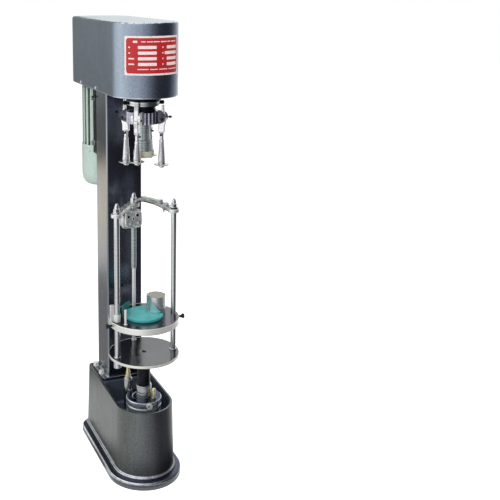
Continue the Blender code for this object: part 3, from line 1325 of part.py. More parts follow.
def bowl_posts(frame, cast, brass):
    """Cast post with a brass stop screw at the bowl's left rear, and a brass guide pin at its right rear."""
    low = BOWL_FLOOR + SEAT_GAP
    edge = STOP_POST_EDGE
    post = [
        (0.0, low),
        (STOP_POST_RADIUS, low),
        (STOP_POST_RADIUS, STOP_POST_TOP - edge),
        (STOP_POST_RADIUS - edge, STOP_POST_TOP),
        (0.0, STOP_POST_TOP),
    ]
    finish_object("stop_post", turned(post, STOP_POST_PLACE, SMALL_SEGMENTS, closed=False), cast, frame)
    tip_low = STOP_POST_TOP + SEAT_GAP
    tip = [
        (0.0, tip_low),
        (STOP_TIP_RADIUS + STOP_NUT_STEP, tip_low),
        (STOP_TIP_RADIUS + STOP_NUT_STEP, tip_low + STOP_NUT_HEIGHT),
        (STOP_TIP_RADIUS, tip_low + STOP_NUT_HEIGHT),
        (STOP_TIP_RADIUS, STOP_TIP_TOP - BRASS_EDGE),
        (STOP_TIP_RADIUS - BRASS_EDGE, STOP_TIP_TOP),
        (0.0, STOP_TIP_TOP),
    ]
    finish_object("stop_screw", turned(tip, STOP_POST_PLACE, TINY_SEGMENTS, closed=False), brass, frame)
    pin_low = COLLAR_TOP + SEAT_GAP
    guide = [
        (0.0, pin_low),
        (GUIDE_PIN_RADIUS, pin_low),
        (GUIDE_PIN_RADIUS, GUIDE_PIN_TOP - BRASS_EDGE),
        (GUIDE_PIN_RADIUS - BRASS_EDGE, GUIDE_PIN_TOP),
        (0.0, GUIDE_PIN_TOP),
    ]
    finish_object("guide_pin", turned(guide, GUIDE_PIN_PLACE, TINY_SEGMENTS, closed=False), brass, frame)


def rod_places():
    """Front left, front right and rear rods."""
    return [(-ROD_X, ROD_Y), (ROD_X, ROD_Y), (0.0, REAR_ROD_Y)]


def rod_radii():
    """Radius of each rod, in the order of their places."""
    return [ROD_RADIUS, ROD_RADIUS, REAR_ROD_RADIUS]


def rod_holes(clearance, segments=SMALL_SEGMENTS):
    """Round holes for the three rods."""
    return [circle(at, radius + clearance, segments) for at, radius in zip(rod_places(), rod_radii())]


def lift_carriage(lift, steel, chrome, black):
    """Shaft with its shoulder, lower disc, and three rods with their foot nuts under the disc."""
    disc_low = LOWER_DISC_TOP - LOWER_DISC_THICKNESS
    shaft = [
        (0.0, LIFT_SHAFT_BOTTOM),
        (LIFT_SHAFT_RADIUS, LIFT_SHAFT_BOTTOM),
        (LIFT_SHAFT_RADIUS, BUSH_TOP + SEAT_GAP),
        (LIFT_SHOULDER_RADIUS, BUSH_TOP + SEAT_GAP),
        (LIFT_SHOULDER_RADIUS, disc_low - SEAT_GAP - LIFT_HEAD_HEIGHT),
        (LIFT_SHOULDER_RADIUS + LIFT_HEAD_STEP, disc_low - SEAT_GAP - LIFT_HEAD_HEIGHT),
        (LIFT_SHOULDER_RADIUS + LIFT_HEAD_STEP, disc_low - SEAT_GAP),
        (0.0, disc_low - SEAT_GAP),
    ]
    finish_object("lift_shaft", turned(shaft, closed=False), black, lift)
    disc = prism(circle((0.0, 0.0), DISC_RADIUS, BIG_SEGMENTS), disc_low, LOWER_DISC_TOP, rod_holes(SEAT_GAP))
    finish_object("lower_disc", disc, steel, lift)
    nut_low = disc_low - SEAT_GAP - ROD_NUT_HEIGHT
    for name, at, radius in zip(ROD_NAMES, rod_places(), rod_radii()):
        nut = radius + ROD_NUT_WALL
        rod = [
            (0.0, nut_low), (nut - ROD_NUT_EDGE, nut_low), (nut, nut_low + ROD_NUT_EDGE),
            (nut, disc_low - SEAT_GAP), (radius, disc_low - SEAT_GAP), (radius, ROD_TOP), (0.0, ROD_TOP),
        ]
        finish_object(f"{name}_rod", turned(rod, at, SMALL_SEGMENTS, closed=False), chrome, lift)


def tangent_pair(c1, r1, c2, r2):
    """Where the line that leaves two circles on its left touches each of them."""
    dx, dy = c2[0] - c1[0], c2[1] - c1[1]
    distance = math.hypot(dx, dy)
    angle = math.atan2(dy, dx) - math.pi / 2 - math.asin((r2 - r1) / distance)
    return math.degrees(angle)


def yoke_outline():
    """Three rod lugs joined by straight outer edges, with a round throat open to the front."""
    left, right, rear = (-ROD_X, ROD_Y), (ROD_X, ROD_Y), (0.0, REAR_ROD_Y)
    out_right = tangent_pair(right, YOKE_LUG_RADIUS, rear, YOKE_REAR_RADIUS)
    out_left = 180.0 - out_right
    points = arc(right, YOKE_LUG_RADIUS, out_right - 180.0 - YOKE_LUG_WRAP_DEG, out_right, 8)
    points += arc(rear, YOKE_REAR_RADIUS, out_right, out_left, 5)
    points += arc(left, YOKE_LUG_RADIUS, out_left, out_left + 180.0 + YOKE_LUG_WRAP_DEG, 8)
    throat = (90.0 + YOKE_THROAT_HALF_DEG, 90.0 - YOKE_THROAT_HALF_DEG)
    points += arc((0.0, 0.0), YOKE_THROAT_RADIUS, *throat, 16)
    return points


def neck_yoke(lift, finish, chrome):
    """Yoke plate across the rod tops, and a flanged dome nut on each rod."""
    low = YOKE_TOP - YOKE_THICKNESS
    bm = prism(yoke_outline(), low, YOKE_TOP, rod_holes(SEAT_GAP))
    finish_object("neck_yoke", bm, finish, lift)
    washer_low = YOKE_TOP + SEAT_GAP
    nut_low = washer_low + DOME_WASHER_HEIGHT
    for name, at, rod_radius in zip(ROD_NAMES, rod_places(), rod_radii()):
        bore = rod_radius + SEAT_GAP
        bore_top = ROD_TOP + SEAT_GAP
        top = YOKE_TOP + DOME_NUT_HEIGHT
        radius = DOME_NUT_RADIUS
        shoulder = top - radius
        profile = [(bore, washer_low), (DOME_WASHER_RADIUS, washer_low), (DOME_WASHER_RADIUS, nut_low),
                   (radius + DOME_NUT_STEP, nut_low)]
        profile += [(radius * math.cos(a), shoulder + radius * math.sin(a)) for a in (0.0, 0.5, 1.0)]
        profile += [(0.0, top), (0.0, bore_top), (bore, bore_top)]
        finish_object(f"{name}_dome_nut", turned_to_axis(profile, at), chrome, lift)


def neck_block(lift, jaw, finish, sleeve_finish):
    """Block under the yoke round the rear rod, the sleeve below it, and the sliding jaw on its face."""
    top = YOKE_TOP - YOKE_THICKNESS - SEAT_GAP
    low = top - NECK_BLOCK_HEIGHT
    corner = NECK_BLOCK_CORNER
    face = arc((NECK_BLOCK_LEFT + corner, low + corner), corner, 180.0, 270.0, 4)
    small = NECK_BLOCK_SMALL_CORNER
    face += arc((NECK_BLOCK_RIGHT - small, low + small), small, 270.0, 360.0, 2)
    face += [(NECK_BLOCK_RIGHT, top), (NECK_BLOCK_LEFT, top)]
    half = (NECK_BLOCK_REAR - NECK_BLOCK_FRONT) / 2
    bm = side_prism(face, half)
    bmesh.ops.translate(bm, verts=bm.verts, vec=(0.0, (NECK_BLOCK_REAR + NECK_BLOCK_FRONT) / 2, 0.0))
    block = finish_object("neck_block", bm, finish, lift)
    rod_drill = pin(REAR_ROD_RADIUS + SEAT_GAP, low - CUT_OVERRUN, top + CUT_OVERRUN, (0.0, REAR_ROD_Y))
    carve(block, "block_rod_drill", rod_drill)
    drill_end = JAW_PIN_LENGTH + JAW_PIN_END_ROOM
    for i, (x, z) in enumerate(jaw_pin_places(low, top)):
        drill = pin(JAW_PIN_RADIUS + RUN_GAP, -CUT_OVERRUN, drill_end, segments=TINY_SEGMENTS)
        carve(block, f"jaw_pin_drill_{i + 1}", laid(drill, (x, NECK_BLOCK_FRONT, z), (0.0, 1.0, 0.0)))
    sleeve = ring(REAR_ROD_RADIUS + SEAT_GAP, SLEEVE_TUBE_RADIUS, SLEEVE_TUBE_BOTTOM, low - SEAT_GAP,
                  (0.0, REAR_ROD_Y), SMALL_SEGMENTS)
    finish_object("rear_rod_sleeve", sleeve, sleeve_finish, lift)
    sliding_jaw(jaw, low, top, finish)


def jaw_pin_places(low, top):
    """Where the jaw's two guide pins enter the block, on each side of the rod."""
    mid = (low + top) / 2
    return [(-JAW_PIN_OFFSET, mid), (JAW_PIN_OFFSET, mid)]


def sliding_jaw(jaw, low, top, finish):
    """Jaw plate in front of the block, hollowed to a bottle's neck, with two bolts that set it."""
    rear = NECK_BLOCK_FRONT - SEAT_GAP
    front = rear - JAW_THICKNESS
    x0, x1 = NECK_BLOCK_LEFT + JAW_SIDE_INSET, NECK_BLOCK_RIGHT - JAW_SIDE_INSET / 2
    height = top - low - 2 * JAW_BOTTOM_INSET
    z0 = low + JAW_BOTTOM_INSET
    outline = rounded_box(x0, x1, z0, z0 + height, JAW_CORNER, 4)
    bm = side_prism(outline, JAW_THICKNESS / 2)
    bmesh.ops.translate(bm, verts=bm.verts, vec=(0.0, (front + rear) / 2, 0.0))
    plate = finish_object("neck_jaw", bm, finish, jaw)
    mid = (x0 + x1) / 2
    for i, (dx, dz) in enumerate(JAW_BOLT_PLACES):
        at = (mid + dx, front + JOIN_DEPTH, z0 + dz)
        bolt = laid(cap_screw(JAW_BOLT_RADIUS, JAW_BOLT_HEIGHT), at, (0.0, -1.0, 0.0))
        fuse(plate, f"jaw_bolt_join_{i + 1}", bolt)
    for i, (x, z) in enumerate(jaw_pin_places(low, top)):
        guide = laid(pin(JAW_PIN_RADIUS, 0.0, JAW_PIN_LENGTH, segments=TINY_SEGMENTS),
                     (x, rear - JOIN_DEPTH, z), (0.0, 1.0, 0.0))
        fuse(plate, f"jaw_pin_join_{i + 1}", guide)


def bottle_table(table, steel, rubber):
    """Round table on the three rods, with its rubber disc, stops and clamps."""
    low = TABLE_TOP - TABLE_RIM_DEPTH
    holes = rod_holes(RUN_GAP)
    disc = prism(circle((0.0, 0.0), DISC_RADIUS, BIG_SEGMENTS), low, TABLE_TOP, holes)
    table_disc = finish_object("bottle_table", disc, steel, table)
    for side in (-1, 1):
        start = ROD_X + ROD_RADIUS - THUMB_DRILL_START
        length = DISC_RADIUS - start + CUT_OVERRUN
        hole = pin(THUMB_SHANK_RADIUS + RUN_GAP / 2, 0.0, length, segments=TINY_SEGMENTS)
        drill = laid(hole, (side * start, ROD_Y, THUMB_SCREW_Z), (side, 0.0, 0.0))
        carve(table_disc, f"thumb_drill_{side + 2}", drill)
    pad_low = TABLE_TOP + SEAT_GAP
    pad = finish_object(
        "bottle_pad",
        prism(circle((0.0, 0.0), PAD_DISC_RADIUS, BIG_SEGMENTS), pad_low, pad_low + PAD_DISC_THICKNESS),
        rubber,
        table,
    )
    pad_high = pad_low + PAD_DISC_THICKNESS
    notch = pin(STOP_BLOCK_RADIUS + SEAT_GAP, pad_low - CUT_OVERRUN, pad_high + CUT_OVERRUN,
                STOP_BLOCK_PLACE, MID_SEGMENTS)
    carve(pad, "pad_notch_cut", notch)
    stop_block(table, steel)
    table_stops(table, steel, rubber)


def stop_block(table, steel):
    """Round steel block with a notch that faces the bottle."""
    low = TABLE_TOP + SEAT_GAP
    x, y = STOP_BLOCK_PLACE
    edge = STOP_BLOCK_EDGE
    profile = [
        (0.0, low), (STOP_BLOCK_RADIUS, low), (STOP_BLOCK_RADIUS, STOP_BLOCK_TOP - edge),
        (STOP_BLOCK_RADIUS - edge, STOP_BLOCK_TOP), (0.0, STOP_BLOCK_TOP),
    ]
    block = finish_object("stop_block", turned(profile, STOP_BLOCK_PLACE, closed=False), steel, table)
    inward = -Vector((x, y)).normalized()
    across = Vector((-inward.y, inward.x))
    centre = Vector((x, y)) + inward * STOP_BLOCK_RADIUS
    corners = []
    reach = (CUT_OVERRUN, CUT_OVERRUN, -STOP_BLOCK_NOTCH_DEPTH, -STOP_BLOCK_NOTCH_DEPTH)
    for along, sideways in zip(reach, (-1, 1, 1, -1)):
        spot = centre + inward * along + across * sideways * STOP_BLOCK_NOTCH / 2
        corners.append((spot.x, spot.y))
    notch = prism(corners, low + STOP_BLOCK_NOTCH_RISE, STOP_BLOCK_TOP + CUT_OVERRUN)
    carve(block, "stop_notch_cut", notch)


def table_stops(table, steel, rubber):
    """Curved back stop behind the rubber disc, the stop bar at its front, and the clamps on two rods."""
    low = TABLE_TOP + SEAT_GAP
    outer = BACK_STOP_RADIUS + BACK_STOP_THICKNESS
    outline = arc((0.0, 0.0), outer, BACK_STOP_FROM_DEG, BACK_STOP_TO_DEG, 12)
    outline += arc((0.0, 0.0), BACK_STOP_RADIUS, BACK_STOP_TO_DEG, BACK_STOP_FROM_DEG, 12)
    finish_object("back_stop", prism(outline, low, low + BACK_STOP_HEIGHT), rubber, table)
    bar = pin(STOP_BAR_RADIUS, low, STOP_BAR_TOP, STOP_BAR_PLACE, TINY_SEGMENTS)
    finish_object("stop_bar", bar, steel, table)
    clip_high = low + ROD_CLIP_HEIGHT
    clip = ring(ROD_RADIUS + RUN_GAP, ROD_CLIP_RADIUS, low, clip_high, (-ROD_X, ROD_Y), SMALL_SEGMENTS)
    finish_object("left_rod_clip", clip, steel, table)
    nut_high = TABLE_TOP - TABLE_RIM_DEPTH - SEAT_GAP
    nut = ring(REAR_ROD_RADIUS + RUN_GAP, CLAMP_NUT_RADIUS, nut_high - CLAMP_NUT_HEIGHT, nut_high,
               (0.0, REAR_ROD_Y), SMALL_SEGMENTS)
    finish_object("rear_clamp_nut", nut, steel, table)


def thumb_screw(name, side, pivot, finish):
    """Black thumb screw through the table's rim that bears on a rod."""
    tip = ROD_X + ROD_RADIUS + RUN_GAP + SEAT_GAP
    reach = THUMB_SCREW_REACH
    head = reach - THUMB_HEAD_LENGTH
    profile = [
        (0.0, tip),
        (THUMB_SHANK_RADIUS, tip),
        (THUMB_SHANK_RADIUS, head),
        (THUMB_HEAD_RADIUS, head + THUMB_HEAD_EDGE),
        (THUMB_HEAD_RADIUS, reach - THUMB_HEAD_EDGE),
        (THUMB_HEAD_RADIUS - THUMB_HEAD_EDGE, reach),
        (0.0, reach),
    ]
    bm = turned(profile, segments=TINY_SEGMENTS, closed=False)
    finish_object(name, laid(bm, (0.0, ROD_Y, THUMB_SCREW_Z), (side, 0.0, 0.0)), finish, pivot)


def build_frame(machine, f):
    """Everything that stands still."""
    base_casting(machine, f["casting_grey"])
    column(machine, f["column_grey"])
    head_cover(machine, f["hammer_grey"])
    head_plate(machine, f["black_steel"])
    rating_plate(machine, f["red_plate"])
    motor(machine, f["pale_green"])
    fan_cover(machine, f["pale_green"])
    motor_bracket(machine, f["black_steel"])
    terminal_box(machine, f["pale_green"], f["black_plastic"])
    bearing_housing(machine, f["black_steel"])
    bearings(machine, f["polished_steel"])
    drive_belt(machine, f["belt_rubber"])
    lift_guide(machine, f["cast_steel"], f["polished_steel"], f["chrome"])
    bowl_posts(machine, f["cast_steel"], f["brass"])


def build_head(machine, f):
    """The spindle and motor rotor with what turns on them."""
    spindle = empty("spindle_axis", (0.0, 0.0, HUB_BOTTOM), machine)
    rotor = empty("rotor_axis", (0.0, MOTOR_Y, MOTOR_BODY_BOTTOM), machine)
    pad = empty("pad_slide", (0.0, 0.0, PAD_BOTTOM), spindle)
    spindle_shaft(spindle, f["polished_steel"])
    pulleys(spindle, rotor, f["cast_steel"])
    rotor_parts(rotor, f["polished_steel"], f["black_plastic"])
    capping_hub(spindle, f["polished_steel"])
    spindle_rings(spindle, f["polished_steel"], f["black_steel"])
    pressure_pad(pad, spindle, f["cream_nylon"], f["polished_steel"])
    capping_arms(spindle, f["chrome"], f["polished_steel"])


def build_lift(machine, f):
    """The lift, the neck yoke on its rods, and the table that slides on them."""
    lift = empty("lift_slide", (0.0, 0.0, BUSH_TOP), machine)
    table = empty("table_slide", (0.0, 0.0, TABLE_TOP), lift)
    jaw = empty("jaw_slide", (0.0, NECK_BLOCK_FRONT, YOKE_TOP), lift)
    lift_carriage(lift, f["polished_steel"], f["chrome"], f["black_steel"])
    neck_yoke(lift, f["cast_steel"], f["chrome"])
    neck_block(lift, jaw, f["cast_steel"], f["polished_steel"])
    bottle_table(table, f["polished_steel"], f["teal_rubber"])
    for name, side in (("thumb_screw_left", -1), ("thumb_screw_right", 1)):
        pivot = empty(f"{name}_axis", (side * ROD_X, ROD_Y, THUMB_SCREW_Z), table)
        thumb_screw(name, side, pivot, f["black_plastic"])


def build_machine():
    """The whole machine, centred fore and aft on the world's origin."""
    start_empty_scene()
    machine = bpy.data.objects.new("machine", None)
    machine.location = (0.0, SPINDLE_Y, 0.0)
    bpy.context.scene.collection.objects.link(machine)
    f = finishes()
    build_frame(machine, f)
    build_head(machine, f)
    build_lift(machine, f)


build_machine()
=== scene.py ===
"""Looks of the screw capping machine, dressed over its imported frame, in metres with +Z up."""
import math
from collections import namedtuple

import bmesh
import bpy
import numpy as np
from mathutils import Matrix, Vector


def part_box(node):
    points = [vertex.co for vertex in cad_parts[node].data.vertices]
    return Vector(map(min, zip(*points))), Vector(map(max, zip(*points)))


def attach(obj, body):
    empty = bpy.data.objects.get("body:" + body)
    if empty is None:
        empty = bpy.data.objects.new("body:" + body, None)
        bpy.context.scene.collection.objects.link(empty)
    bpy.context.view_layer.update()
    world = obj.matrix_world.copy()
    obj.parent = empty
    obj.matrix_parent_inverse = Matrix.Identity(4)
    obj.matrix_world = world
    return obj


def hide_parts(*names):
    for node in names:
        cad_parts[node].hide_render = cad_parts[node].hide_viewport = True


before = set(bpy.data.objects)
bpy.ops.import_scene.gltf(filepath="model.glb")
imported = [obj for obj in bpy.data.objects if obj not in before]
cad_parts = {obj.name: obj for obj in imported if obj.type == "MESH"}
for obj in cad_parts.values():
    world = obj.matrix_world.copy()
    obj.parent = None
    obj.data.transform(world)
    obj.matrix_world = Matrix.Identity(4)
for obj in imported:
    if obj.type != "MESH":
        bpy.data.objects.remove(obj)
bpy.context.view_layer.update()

TAU = math.tau

# Camera, worked out from the photograph. Its frame is 500 by 500 pixels.
CAMERA_FROM_SPINDLE = (-0.7106, -1.9632, 1.2871)
CAMERA_TURN_DEG = -19.9
CAMERA_TILT_DEG = 79.59
CAMERA_LENS = 61.01
CAMERA_SENSOR = 36.0
CAMERA_SHIFT = (0.2125, -0.2194)

# Grid counts
FINE = 128
ROUND = 72
SMALL = 40
NOSE_POINTS = 97
SIDE_POINTS = 10
BEND_POINTS = 13
CORNER_STEPS = 6
SHARP_DEG = 34.0

# Sizes that the frame's boxes don't give
BASE_FLANGE_CORNER = 0.035
BASE_CORNER = 0.012
BASE_TOP_RADIUS = 0.0755
BASE_FOOT_RADIUS = 0.0795
BASE_REAR_TOP = 0.266
BASE_REAR_FOOT = 0.272
BASE_WALL = 0.0065
FLANGE_HEIGHT = 0.020
BEAD_HEIGHT = 0.007
BEAD_WIDTH = 0.005
DECK_HEIGHT = 0.196
BOWL_FLOOR = 0.130
BOWL_UNDERSIDE = 0.121
BOWL_REAR = 0.146
BOWL_CORNER = 0.024
COLUMN_HALF = (0.050, 0.0475)
COLUMN_FRONT = 0.154
COLUMN_CORNER = 0.005
FOOT_PLATE_HEIGHT = 0.008
HEAD_REAR = 0.405
HEAD_CORNER = 0.062
HEAD_EDGE = 0.007
HEAD_WALL = 0.0025
MOTOR_BARREL = 0.053
FIN_TIP = 0.061
MOTOR_FINS = 24
FAN_SLOTS = 24
ARM_DEGS = (-40.0, 50.0, 140.0, 230.0)
ARM_HALF = 0.0055
EAR_HALF = 0.003
FLUTES = 28
STOP_BLOCK_RADIUS = 0.025
NOTCH_DEPTH = 0.009
NOTCH_HALF_DEG = 14.5
NOTCH_FLOOR = 0.011


def box(node):
    """Lowest and highest corners of a node at rest, as arrays."""
    low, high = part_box(node)
    return np.array(low, float), np.array(high, float)


def heights(node):
    """Lowest and highest Z of a node at rest."""
    low, high = box(node)
    return low[2], high[2]


def middle(node):
    """Centre of a node's box."""
    low, high = box(node)
    return (low + high) / 2


UP = np.array([0.0, 0.0, 1.0])
AXIS = middle("spindle_shaft")[:2]
MOTOR_AXIS = middle("motor_shaft")[:2]
RODS = {name: middle(f"{name}_rod")[:2] for name in ("left", "right", "rear")}


def from_axis(x, y, z):
    """A point given from the spindle axis at floor level."""
    return np.array([AXIS[0] + x, AXIS[1] + y, z])


def heading(deg):
    """Unit vectors outwards and sideways at an angle about the spindle."""
    a = math.radians(deg)
    return np.array([math.cos(a), math.sin(a), 0.0]), np.array([-math.sin(a), math.cos(a), 0.0])


def tone(red, green, blue):
    """A colour as it is seen on a screen, as the shader's linear colour."""
    return tuple(((c + 0.055) / 1.055) ** 2.4 if c > 0.04 else c / 12.92 for c in (red, green, blue))


# Node trees

def node(tree, kind, inputs=(), **settings):
    """One shader node. Its inputs are given by place or by name, as values or as sockets to link."""
    made = tree.nodes.new("ShaderNode" + kind)
    for key, value in settings.items():
        setattr(made, key, value)
    pairs = inputs.items() if isinstance(inputs, dict) else enumerate(inputs)
    for key, value in pairs:
        if isinstance(value, bpy.types.NodeSocket):
            tree.links.new(value, made.inputs[key])
        elif value is not None:
            made.inputs[key].default_value = value
    return made


def maths(tree, operation, *values):
    """Output of one Math node."""
    return node(tree, "Math", values, operation=operation).outputs[0]


def spread(tree, value, low, high, to_low=0.0, to_high=1.0):
    """A value's range from low to high stretched to another, and held at its ends."""
    return node(tree, "MapRange", (value, low, high, to_low, to_high)).outputs[0]


def blend_colours(tree, share, first, second):
    """First colour where the share is 0, second where it is 1."""
    mix = node(tree, "Mix", data_type="RGBA")
    for place, value in ((0, share), (6, first), (7, second)):
        if isinstance(value, bpy.types.NodeSocket):
            tree.links.new(value, mix.inputs[place])
        elif place == 0:
            mix.inputs[0].default_value = value
        else:
            mix.inputs[place].default_value = (*value, 1.0)
    return mix.outputs[2]


def parts(tree, vector):
    """The three parts of a vector."""
    return node(tree, "SeparateXYZ", (vector,)).outputs


def noise(tree, vector, scale, detail=3.0, roughness=0.55, distortion=0.0):
    """Value of a 3D noise."""
    inputs = {"Vector": vector, "Scale": scale, "Detail": detail, "Roughness": roughness, "Distortion": distortion}
    return node(tree, "TexNoise", inputs).outputs[0]


def new_group(name, inputs, outputs):
    """An empty node group with named sockets, and its two end nodes."""
    tree = bpy.data.node_groups.new(name, "ShaderNodeTree")
    for label, kind, value in inputs:
        socket = tree.interface.new_socket(label, in_out="INPUT", socket_type="NodeSocket" + kind)
        if value is not None:
            socket.default_value = value
    for label, kind in outputs:
        tree.interface.new_socket(label, in_out="OUTPUT", socket_type="NodeSocket" + kind)
    return tree, tree.nodes.new("NodeGroupInput").outputs, tree.nodes.new("NodeGroupOutput").inputs


def soft_edges_group():
    """Normal that turns smoothly over an edge, as a machined piece's broken edge does."""
    tree, given, result = new_group("soft_edges", [("Width", "Float", 0.0008)], [("Normal", "Vector")])
    bevel = node(tree, "Bevel", {"Radius": given["Width"]}, samples=6)
    tree.links.new(bevel.outputs[0], result["Normal"])
    return tree


def edge_mask_group():
    """Mask of edges: where the bevelled normal leaves the plain one, broken up by noise."""
    inputs = [("Place", "Vector", None), ("Width", "Float", 0.0015), ("Breakup", "Float", 220.0)]
    tree, given, result = new_group("edge_mask", inputs, [("Mask", "Float")])
    bevel = node(tree, "Bevel", {"Radius": given["Width"]}, samples=6).outputs[0]
    plain = node(tree, "NewGeometry").outputs["Normal"]
    near = node(tree, "VectorMath", (bevel, plain), operation="DOT_PRODUCT").outputs["Value"]
    edge = spread(tree, near, 0.995, 0.86)
    chips = spread(tree, noise(tree, given["Place"], given["Breakup"], 4.0), 0.38, 0.62, 0.25, 1.0)
    tree.links.new(maths(tree, "MULTIPLY", edge, chips), result["Mask"])
    return tree


def turning_group():
    """Fine rings left by a lathe tool: noise read along the profile, which is the grain's third part."""
    inputs = [("Grain", "Vector", None), ("Pitch", "Float", 2600.0)]
    tree, given, result = new_group("turning_marks", inputs, [("Height", "Float"), ("Tint", "Float")])
    along = parts(tree, given["Grain"])[2]
    cut = maths(tree, "MULTIPLY", along, given["Pitch"])
    fine = node(tree, "TexNoise", {"W": cut, "Scale": 1.0, "Detail": 2.0}, noise_dimensions="1D").outputs[0]
    slow = maths(tree, "MULTIPLY", cut, 0.09)
    broad = node(tree, "TexNoise", {"W": slow, "Scale": 1.0, "Detail": 2.0}, noise_dimensions="1D").outputs[0]
    stretched = node(tree, "Mapping", {"Vector": given["Grain"], "Scale": (30.0, 30.0, 500.0)}).outputs[0]
    smear = noise(tree, stretched, 1.0, 2.0)
    height = maths(tree, "ADD", maths(tree, "MULTIPLY", fine, 0.6), maths(tree, "MULTIPLY", smear, 0.4))
    tree.links.new(height, result["Height"])
    tree.links.new(maths(tree, "MULTIPLY", broad, smear), result["Tint"])
    return tree


def hammered_group():
    """Hammer-finish paint: round dimples of a smooth cell pattern with finer ripples in them."""
    inputs = [("Place", "Vector", None), ("Scale", "Float", 260.0)]
    tree, given, result = new_group("hammered", inputs, [("Height", "Float"), ("Tint", "Float")])
    warp = node(tree, "TexNoise", {"Vector": given["Place"], "Scale": 90.0}).outputs[1]
    shift = node(tree, "VectorMath", (warp, (0.004, 0.004, 0.004)), operation="MULTIPLY").outputs[0]
    bent = node(tree, "VectorMath", (given["Place"], shift), operation="ADD").outputs[0]
    cells = node(
        tree, "TexVoronoi", {"Vector": bent, "Scale": given["Scale"], "Smoothness": 0.8}, feature="SMOOTH_F1"
    ).outputs[0]
    ripples = noise(tree, given["Place"], 900.0, 2.0)
    height = maths(tree, "ADD", maths(tree, "MULTIPLY", cells, 0.8), maths(tree, "MULTIPLY", ripples, 0.2))
    tree.links.new(height, result["Height"])
    tree.links.new(noise(tree, bent, 240.0, 4.0, 0.65), result["Tint"])
    return tree


def smudges_group():
    """Large soft patches, as handling and cleaning leave them."""
    inputs = [("Place", "Vector", None), ("Scale", "Float", 14.0)]
    tree, given, result = new_group("smudges", inputs, [("Mask", "Float")])
    cloud = noise(tree, given["Place"], given["Scale"], 6.0, 0.62, 0.8)
    tree.links.new(spread(tree, cloud, 0.36, 0.66), result["Mask"])
    return tree


def brushed_group():
    """Streaks along one direction: noise read on coordinates that are squeezed the other two ways."""
    inputs = [("Place", "Vector", None), ("Stretch", "Vector", (1.0, 1.0, 1.0))]
    tree, given, result = new_group("brushed", inputs, [("Height", "Float")])
    squeezed = node(tree, "VectorMath", (given["Place"], given["Stretch"]), operation="MULTIPLY").outputs[0]
    tree.links.new(noise(tree, squeezed, 1.0, 4.0, 0.7), result["Height"])
    return tree


def cast_skin_group():
    """Skin of a sand casting: rounded grain with scattered pits."""
    inputs = [("Place", "Vector", None), ("Scale", "Float", 420.0)]
    tree, given, result = new_group("cast_skin", inputs, [("Height", "Float"), ("Pits", "Float")])
    grain = noise(tree, given["Place"], given["Scale"], 5.0, 0.6)
    cells = node(tree, "TexVoronoi", {"Vector": given["Place"], "Scale": 330.0, "Randomness": 1.0}).outputs[0]
    pits = spread(tree, cells, 0.20, 0.05)
    tree.links.new(maths(tree, "SUBTRACT", grain, maths(tree, "MULTIPLY", pits, 0.5)), result["Height"])
    tree.links.new(pits, result["Pits"])
    return tree


def facing_up_group():
    """Mask of how far a face looks up, between two values of its normal's upright part."""
    inputs = [("Low", "Float", 0.0), ("High", "Float", 1.0)]
    tree, given, result = new_group("facing_up", inputs, [("Mask", "Float")])
    up = parts(tree, node(tree, "NewGeometry").outputs["Normal"])[2]
    tree.links.new(spread(tree, up, given["Low"], given["High"]), result["Mask"])
    return tree


GROUPS = {
    "soft_edges": soft_edges_group(),
    "edge_mask": edge_mask_group(),
    "turning_marks": turning_group(),
    "hammered": hammered_group(),
    "smudges": smudges_group(),
    "brushed": brushed_group(),
    "cast_skin": cast_skin_group(),
    "facing_up": facing_up_group(),
}


def use(tree, name, **inputs):
    """Outputs of one of the groups, placed in a material with its own values."""
    made = tree.nodes.new("ShaderNodeGroup")
    made.node_tree = GROUPS[name]
    for key, value in inputs.items():
        if isinstance(value, bpy.types.NodeSocket):
            tree.links.new(value, made.inputs[key])
        else:
            made.inputs[key].default_value = value
    return made.outputs


def new_material(name):
    """A material with nodes, and its tree."""
    made = bpy.data.materials.new(name)
    made.use_nodes = True
    return made, made.node_tree


def start_finish(name, colour, roughness, metallic, **sockets):
    """A Principled material with its plain values on the shader's own sockets, and its object coordinates."""
    made, tree = new_material(name)
    shader = tree.nodes["Principled BSDF"]
    values = {"Base Color": (*colour, 1.0), "Roughness": roughness, "Metallic": metallic}
    values.update({key.replace("_", " "): value for key, value in sockets.items()})
    for key, value in values.items():
        shader.inputs[key].default_value = value
    place = node(tree, "TexCoord").outputs["Object"]
    return made, tree, shader, place


def relief(tree, shader, height, depth, edge=0.0006, strength=1.0):
    """Bump of a depth in metres, on a normal that is softened over edges."""
    normal = use(tree, "soft_edges", Width=edge)["Normal"]
    inputs = {"Strength": strength, "Distance": depth, "Height": height, "Normal": normal}
    bump = node(tree, "Bump", inputs)
    tree.links.new(bump.outputs[0], shader.inputs["Normal"])


def colour_from(tree, shader, socket):
    """The base colour taken from a socket."""
    tree.links.new(socket, shader.inputs["Base Color"])


def roughness_from(tree, shader, mask, low, high):
    """The roughness taken from a mask, between two values."""
    tree.links.new(spread(tree, mask, 0.0, 1.0, low, high), shader.inputs["Roughness"])


def times(tree, first, second):
    """Product of two values."""
    return maths(tree, "MULTIPLY", first, second)


def upward(tree, low, high):
    """How far a face looks up, as a share between two values of its normal."""
    return use(tree, "facing_up", Low=low, High=high)["Mask"]


def between(tree, value, low, high, soft):
    """A share that is full between two values and fades over a soft edge outside them."""
    return times(tree, spread(tree, value, low - soft, low), spread(tree, value, high + soft, high))


def colour_over(tree, shader, share, colour):
    """The base colour so far, with another laid over a share of it."""
    before = shader.inputs["Base Color"].links[0].from_socket
    colour_from(tree, shader, blend_colours(tree, share, before, tone(*colour)))


